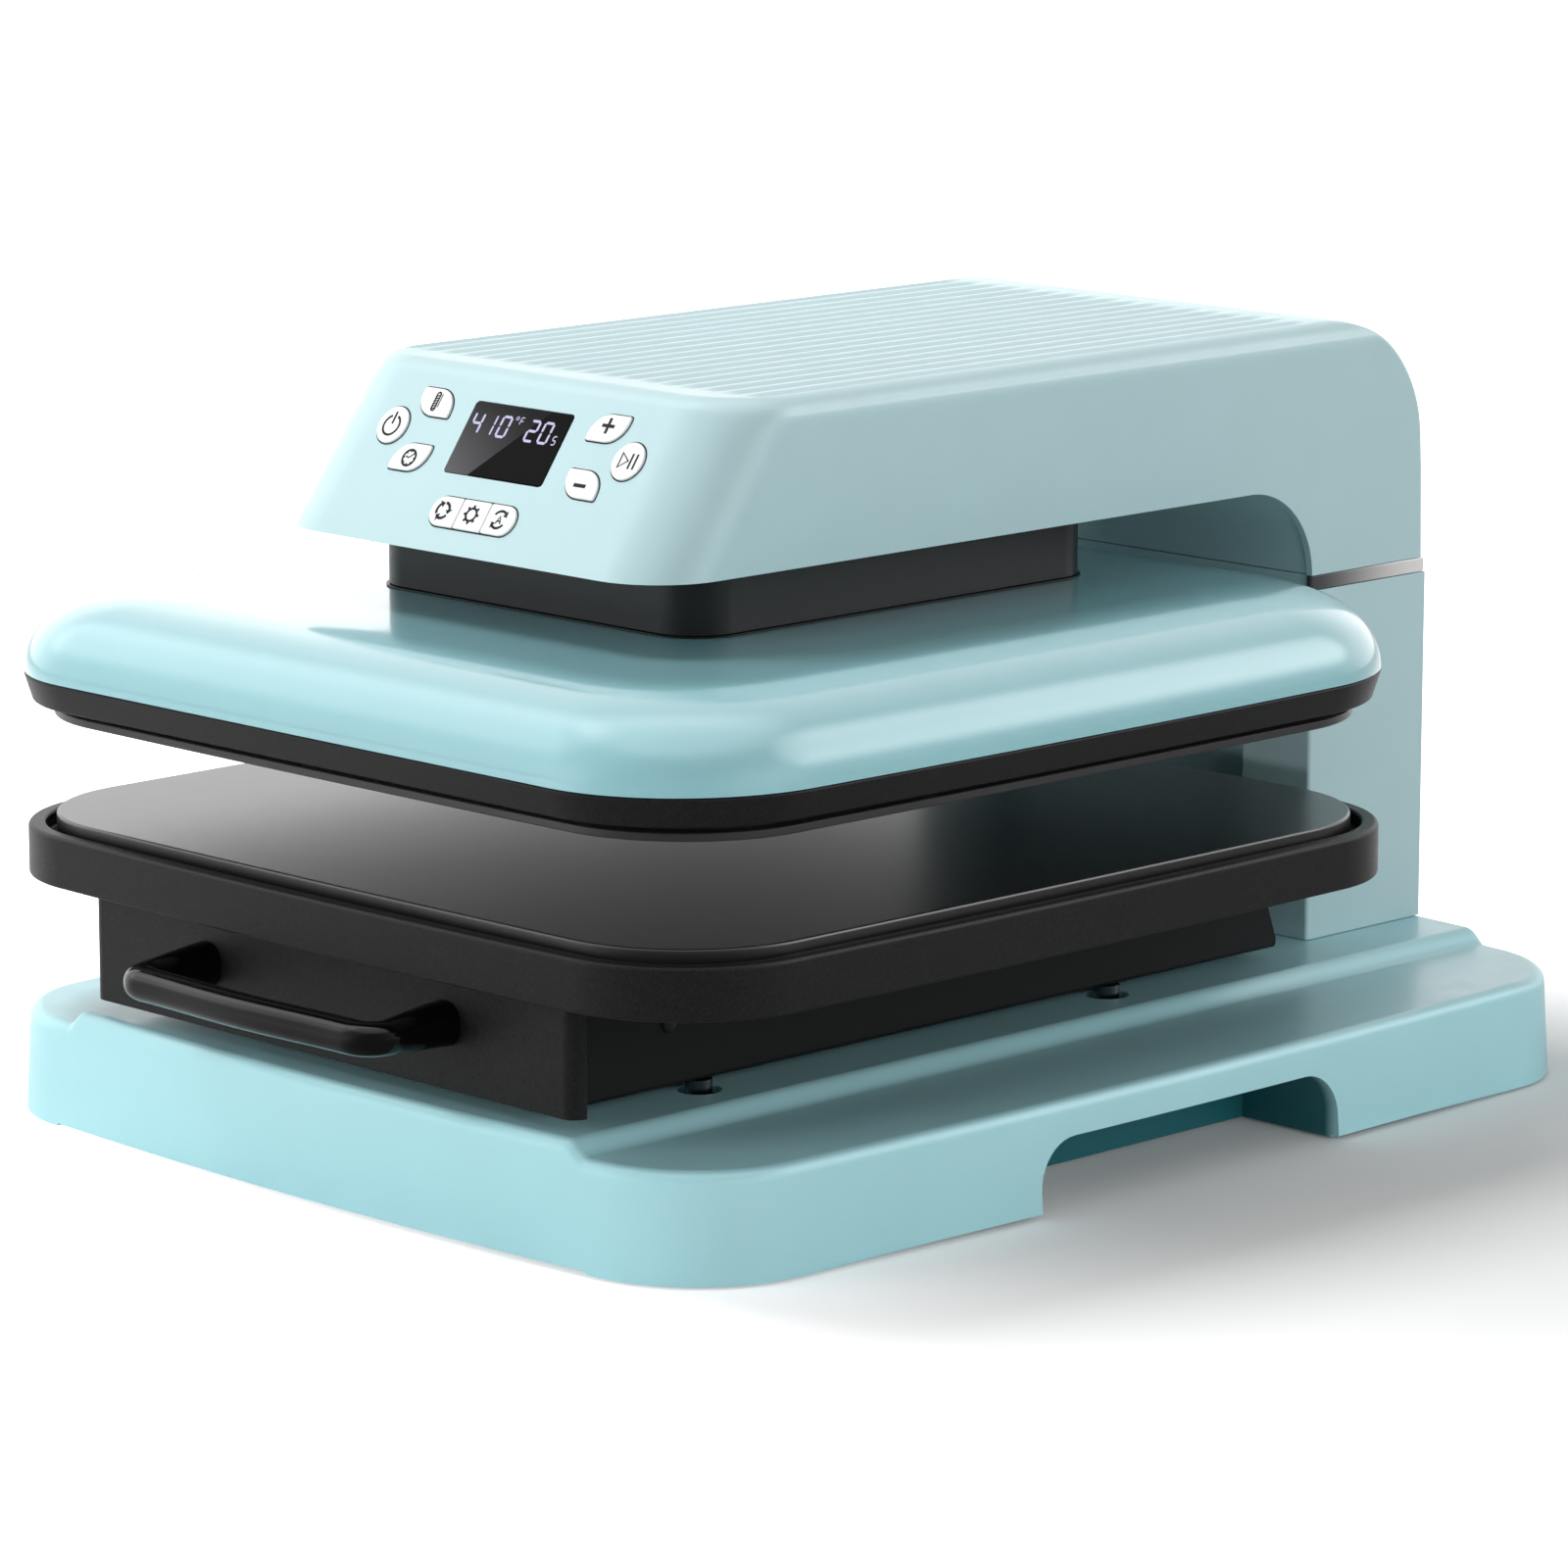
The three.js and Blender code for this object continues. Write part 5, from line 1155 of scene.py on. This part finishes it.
def build_panel():
    glass = cap("display_glass", display_outline, 4.6, DISPLAY_PROUD, 0.3, 3)
    dress(glass, "display_glass", "press", "display_window")
    for name, outline in KEYS.items():
        dress(cap(f"{name}_cap", outline, 6, KEY_PROUD, 0.4, 4), "white_key", name, name)


# Printed symbols, the display's lit segments, and painted shade in the gaps round the keys
class Print:
    """Thin raised shapes on the panel, each a closed solid."""

    def __init__(self, base):
        self.base = base + INK_LIFT
        self.points = []
        self.faces = []

    def solid(self, left, right, closed=False):
        """A strip between two lines of points in (x, rise)."""
        count = len(left)
        start = len(self.points)
        for out in (self.base, self.base + INK_THICKNESS):
            for line in (left, right):
                self.points += [panel_point(x, rise, out) for x, rise in line]

        def face(*corners):
            self.faces.append(tuple(start + side * count + i % count for side, i in corners))

        for i in range(count if closed else count - 1):
            j = i + 1
            face((0, i), (1, i), (1, j), (0, j))
            face((2, i), (2, j), (3, j), (3, i))
            face((0, i), (0, j), (2, j), (2, i))
            face((1, i), (3, i), (3, j), (1, j))
        if not closed:
            for i in (0, count - 1):
                face((0, i), (2, i), (3, i), (1, i))

    def line(self, points, width=INK_WIDTH, closed=False):
        spots = [Vector(point) for point in points]
        left, right = [], []
        for i, spot in enumerate(spots):
            before = spots[i - 1] if closed or i > 0 else spot
            after = spots[(i + 1) % len(spots)] if closed or i + 1 < len(spots) else spot
            ahead = (after - before).normalized()
            side = Vector((-ahead.y, ahead.x)) * width / 2
            left.append(tuple(spot + side))
            right.append(tuple(spot - side))
        self.solid(left, right, closed)

    def arc(self, x, rise, radius, start, turn, width=INK_WIDTH):
        whole = abs(turn) >= 360
        points = arc(x, rise, radius, radians(start), radians(turn), 32)
        self.line(points[:-1] if whole else points, width, whole)

    def spoke(self, x, rise, inner, outer, angle, width):
        self.line([(x + r * cos(angle), rise + r * sin(angle)) for r in (inner, outer)], width)

    def arrow(self, x, rise, radius, start, turn, width):
        """An arc that ends in an arrow head."""
        self.arc(x, rise, radius, start, turn, width)
        end, tip = radians(start + turn), radians(start + turn + copysign(34, turn))
        point, *barbs = ((x + r * cos(a), rise + r * sin(a)) for r, a in (
            (radius, tip), (radius - width * 1.5, end), (radius + width * 1.5, end)))
        self.solid(*[[tuple(Vector(point) * 0.98 + Vector(barb) * 0.02), barb] for barb in barbs])

    def finish(self, name, finish, body):
        dress(new_piece(name, self.points, self.faces), finish, body)


def draw_power(ink):
    x, rise = -64.5, 46.9
    ink.arc(x, rise, 4.1, 112, 316, 0.95)
    ink.line([(x, rise + 0.6), (x, rise + 5.7)], 0.95)


def draw_start(ink):
    ink.line([(60.7, 50.2), (60.7, 44.2), (64.8, 47.3)], 0.95, True)
    for x in (66.1, 68.5):
        ink.line([(x, 44.1), (x, 50.4)], 0.9)


def draw_temperature(ink):
    x, low, high, half = -47.1, 56.2, 61.9, 0.95
    ink.line(arc(x, high, half, 0, pi, 10) + arc(x, low, half, pi, pi, 10), 0.7, True)
    for i in range(6):
        rise = low + 1.05 * i
        ink.line([(x - half, rise - 0.35), (x + half, rise + 0.35)], 0.55)
    ink.line([(x + 2, low + 0.6), (x + 2, high + 0.4)], 0.4)


def draw_timer(ink):
    x, rise, radius = -46.9, 35, 3.3
    ink.arc(x, rise, radius, 0, 360, 0.95)
    ink.line([(x - 2, rise + 0.5), (x - 0.2, rise), (x + 1.8, rise + 1.7)], 0.6)
    for angle in range(0, 360, 45):
        ink.spoke(x, rise, radius - 1, radius, radians(angle), 0.65)


def draw_plus(ink):
    x, rise, arm, width = 46.7, 59.7, 3.2, 1.35
    ink.line([(x - arm, rise), (x + arm, rise)], width)
    ink.line([(x, rise - arm), (x, rise - width / 2)], width)
    ink.line([(x, rise + width / 2), (x, rise + arm)], width)


def draw_minus(ink):
    ink.line([(43.5, 34.8), (49.8, 34.8)], 1.45)


def draw_cycle(ink):
    for start in (88, 208, 328):
        ink.arrow(-16.1, 16.5, 3.2, start, -78, 1.15)


def draw_gear(ink):
    x, rise, teeth = -0.6, 16.6, 8
    ink.arc(x, rise, 2.6, 0, 360, 0.95)
    for i in range(teeth):
        ink.spoke(x, rise, 2.75, 3.95, 2 * pi * i / teeth, 1.05)


def draw_auto(ink):
    x, rise = 14.7, 16.5
    for start in (150, 330):
        ink.arrow(x, rise, 3.5, start, -98, 1)
    ink.line([(x - 1.1, rise - 1.6), (x + 0.1, rise + 1.5), (x + 1.3, rise - 1.6)], 0.7)
    ink.line([(x - 0.6, rise - 0.6), (x + 0.8, rise - 0.6)], 0.6)


SYMBOLS = {
    "key_power": draw_power, "key_start_pause": draw_start, "key_temperature": draw_temperature,
    "key_timer": draw_timer, "key_plus": draw_plus, "key_minus": draw_minus, "key_mode_left": draw_cycle,
    "key_mode_middle": draw_gear, "key_mode_right": draw_auto,
}
SEGMENTS = {"0": "abcdef", "1": "bc", "2": "abged", "4": "fgbc", "s": "afgcd", "F": "aefg"}


def draw_digit(light, sign, x, rise, width, height, stroke):
    """A seven-segment sign whose lower left corner is at x, rise."""
    half = height / 2
    ends = {
        "a": ((0, height), (width, height)), "g": ((0, half), (width, half)), "d": ((0, 0), (width, 0)),
        "f": ((0, half), (0, height)), "e": ((0, 0), (0, half)),
        "b": ((width, half), (width, height)), "c": ((width, 0), (width, half)),
    }
    for segment in SEGMENTS[sign]:
        first, last = (Vector(end) for end in ends[segment])
        ahead = (last - first).normalized()
        first += ahead * stroke * 0.6
        last -= ahead * stroke * 0.6
        side = Vector((-ahead.y, ahead.x)) * stroke / 2
        tip = ahead * stroke / 2
        lines = [[first - tip + edge * 0.05, first + edge, last + edge, last + tip + edge * 0.05]
                 for edge in (side, -side)]
        light.solid(*[[(x + p.x + p.y * DIGIT_SLANT, rise + p.y) for p in line] for line in lines])


def build_prints():
    for name, draw in SYMBOLS.items():
        ink = Print(KEY_PROUD)
        draw(ink)
        ink.finish(f"{name}_symbol", "ink", name)
    light = Print(DISPLAY_PROUD)
    low, width, height, stroke = 49.2, 4.5, 8.3, 1.05
    high = low + height
    for sign, x in (("4", -23.7), ("0", -8.8), ("2", 6.6), ("0", 14)):
        draw_digit(light, sign, x, low, width, height, stroke)
    draw_digit(light, "1", -12.1, low, 0, height, stroke * 0.75)
    light.arc(-1.3, high, 0.65, 0, 360, 0.35)
    draw_digit(light, "F", 0.7, high - 2.4, 1.6, 3, 0.42)
    draw_digit(light, "s", 21.4, low, 1.7, 3.4, 0.5)
    light.finish("display_digits", "display_light", "press")
    # Painted shade: dark rings over the gaps round the keys, and dark lines in the gaps between the mode
    # keys.
    edge = Print(0)
    for outline in [KEYS[name] for name in SINGLE_KEYS] + [pill_row]:
        edge.solid(outline(GAP / 4 + GAP_SHADE_WIDTH), outline(GAP / 4), True)
    for x in (-PILL_SPLIT, PILL_SPLIT):
        edge.line([(x, PILL_RISE - PILL_HALF[1]), (x, PILL_RISE + PILL_HALF[1])], GAP * 0.8)
    edge.finish("key_gap_shade", "ink", "press")


# Mains inlet and rocker switch
def build_inlet():
    flange, tall, wide, bevel, well = 3, 8, 12, 5, 10.8
    socket_depth, well_depth = 17, 15
    low, high = span("mains_inlet")
    back = COLUMN_HIGH.y + GAP
    outline = rounded_box(low.x + flange, high.x - flange, low.z + flange, high.z - flange, 1.5)
    body = prism("inlet_body", outline, "y", low.y, back + 0.5)
    rim = prism("rim", rounded_box(low.x, high.x, low.z, high.z, 2.5), "y", back, high.y)
    round_edges(rim, 0.5, lambda x, y, z: y > high.y - 0.1, 3)
    combine("UNION", body, rim)
    middle = (low.z + high.z) / 2
    x = (low.x + high.x) / 2 - 11
    upper = middle + tall * 0.35
    socket = filleted([(x - wide, middle - tall, 1.5), (x + wide, middle - tall, 1.5), (x + wide, upper, 1),
                       (x + wide - bevel, middle + tall, 1), (x - wide + bevel, middle + tall, 1),
                       (x - wide, upper, 1)])
    cut(body, prism("socket", socket, "y", high.y - socket_depth, high.y + OVERRUN))
    blades = [block("blade", (x + step - 1, high.y - socket_depth - 1, middle + rise - 2),
                    (x + step + 1, high.y - 6, middle + rise + 2))
              for step, rise in ((-7, -2), (0, 2), (7, -2))]
    rocker_low, rocker_high = span("rocker_switch")
    cut(body, block("well", (rocker_low.x - GAP, high.y - well_depth, middle - well),
                    (rocker_high.x + GAP, high.y + OVERRUN, middle + well)))
    dress(body, "black_plastic", "press", "mains_inlet")
    dress(gather("inlet_blades", blades), "bright_steel", "press")


def build_rocker():
    low, high = span("rocker_switch")
    pivot_y, pivot_z, tilt = COLUMN_HIGH.y - 4.5, span("mains_inlet")[0].z + 18, radians(-8)
    c, s = cos(tilt), sin(tilt)
    corners = [(-5.5, -5.5, 1), (0, -9.4, 1), (5, -9.4, 0.8), (3.6, 0, 14), (5, 9.4, 0.8), (0, 9.4, 1),
               (-5.5, 5.5, 1)]
    outline = [(pivot_y + y * c - z * s, pivot_z + y * s + z * c) for y, z in filleted(corners, 8)]
    rocker = prism("rocker_cap", outline, "x", low.x, high.x)
    round_edges(rocker, 0.35, lambda x, y, z: abs(x - low.x) < 0.1 or abs(x - high.x) < 0.1, 2, 60)
    dress(rocker, "black_gloss", "rocker", "rocker_switch")


# Studio. Each mirrored step is a direction, two cosines to it and the brightness at each.
CAMERA_PLACE = (1.814, -1.779, 0.629)
CAMERA_TURN = (78.67, 0, 45.66)
CAMERA_LENS = 153.99
SENSOR = 36
CAMERA_SIDE = (0.714, -0.7, 0)
RIGHT_SOFTBOX = (0.52, 0.66, 0.54)
LEFT_SOFTBOX = (-0.7, -0.28, 0.657)
DARK_SIDE = (0.6, 0.6, -0.53)
UP = (0, 0, 1)
MIRRORED_STEPS = (
    (CAMERA_SIDE, 0.25, 0.92, 1, 0.25),
    (CAMERA_SIDE, -0.9, 0.1, 1.75, 1),
    (RIGHT_SOFTBOX, 0.9, 0.985, 1, 4),
    (LEFT_SOFTBOX, 0.88, 0.98, 1, 2.2),
    (DARK_SIDE, 0.6, 0.95, 1, 0.35),
    (UP, 0.3, 0.6, 1, 0.75),
    (UP, 0.75, 0.95, 1, 2.6),
)
AMBIENT = 0.34
FLOOR_HALF = 15
FLOOR_LIGHT = 0.9
FLOOR_MIRRORED = 0.9
SHADED_PLACE = (0.26, 0.12, 0)
LAMPS = {
    "key": ((-1.2, -2.5, 0.4), 1.4, 51),
    "fill": ((2.2, -0.1, 0.45), 1.4, 21),
    "overhead": ((-1.05, -0.15, 2.05), 0.8, 30),
}
LAMP_AIM = Vector((0, 0, 0.15))


def build_camera():
    camera = bpy.data.cameras.new("camera")
    camera.lens = CAMERA_LENS
    camera.sensor_width = camera.sensor_height = SENSOR
    camera.clip_end = 100
    holder = placed("camera", camera)
    holder.location = Vector(CAMERA_PLACE) + Vector((0, SHIFT * MM, 0))
    holder.rotation_euler = [radians(angle) for angle in CAMERA_TURN]
    bpy.context.scene.camera = holder


def mirrored_light(tree, direction):
    """How bright the studio is in reflections from a direction."""
    unit = node(tree, "VectorMath", {0: direction}, operation="NORMALIZE")["Vector"]
    shares = []
    for side, *step in MIRRORED_STEPS:
        toward = node(tree, "VectorMath", {0: unit, 1: side}, operation="DOT_PRODUCT")["Value"]
        shares.append(ramp(tree, toward, *step, "SMOOTHSTEP"))
    return product(tree, *shares)


def by_ray(tree, camera, glossy, other):
    """One of three values, for camera and transmission rays, glossy rays and all others."""
    path = node(tree, "LightPath", {})
    seen = maths(tree, "MAXIMUM", path["Is Camera Ray"], path["Is Transmission Ray"])
    inner = node(tree, "Mix", {"Factor": path["Is Glossy Ray"], "A": other, "B": glossy})
    return node(tree, "Mix", {"Factor": seen, "A": inner["Result"], "B": camera})["Result"]


def build_world():
    world = bpy.data.worlds.new("studio")
    world.use_nodes = True
    tree = world.node_tree
    background = tree.nodes["Background"].inputs
    background["Color"].default_value = (1, 1, 1, 1)
    direction = node(tree, "TexCoord", {})["Generated"]
    feed(tree, background["Strength"], by_ray(tree, 1, mirrored_light(tree, direction), AMBIENT))
    bpy.context.scene.world = world


def build_floor():
    """Its own light grows away from the place in the press's shade, so that the shadow stays."""
    half = FLOOR_HALF / MM
    floor = new_piece("floor", [(x, y, 0) for x, y in rectangle(-half, half, -half, half)], [(0, 1, 2, 3)])
    finish = Finish("floor", Roughness=0.9, Specular_IOR_Level=0.1, Emission_Color=(1, 1, 1, 1))
    tree = finish.tree
    distance = node(tree, "VectorMath", {0: finish.places, 1: SHADED_PLACE}, operation="DISTANCE")["Value"]
    seen = ramp(tree, distance, 0.12, 0.62, 0.04, 1, "SMOOTHSTEP")
    mirrored = product(tree, mirrored_light(tree, finish.places), FLOOR_MIRRORED)
    finish.set(Base_Color=by_ray(tree, FLOOR_LIGHT, mirrored, FLOOR_LIGHT),
               Emission_Strength=by_ray(tree, seen, 0, 0))
    floor.data.materials.append(finish.material)
    floor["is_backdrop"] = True


def build_lamps():
    for name, (place, size, power) in LAMPS.items():
        lamp = bpy.data.lights.new(name, "AREA")
        lamp.size = size
        lamp.energy = power
        holder = placed(name, lamp)
        holder.location = place
        holder.visible_glossy = False
        holder.rotation_euler = (LAMP_AIM - Vector(place)).to_track_quat("-Z", "Y").to_euler()


bpy.context.scene.view_settings.view_transform = "Standard"
for build in (
        build_camera, build_world, build_floor, build_lamps, paint_nodes, build_base, build_bottom_cover,
        build_feet, build_posts, build_springs, build_channels, build_drawer_front, build_handle, build_tray,
        build_channel_screws, build_pad, build_heat_plate, build_platen_rim, build_platen_cover, build_neck,
        build_column, build_rear_cover, build_strip, build_head, build_underside, build_panel, build_prints,
        build_inlet, build_rocker):
    build()

sizes = {"cad": cad_bounds, "visual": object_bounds()}
{name: [list(corner) for corner in box] for name, box in sizes.items()}
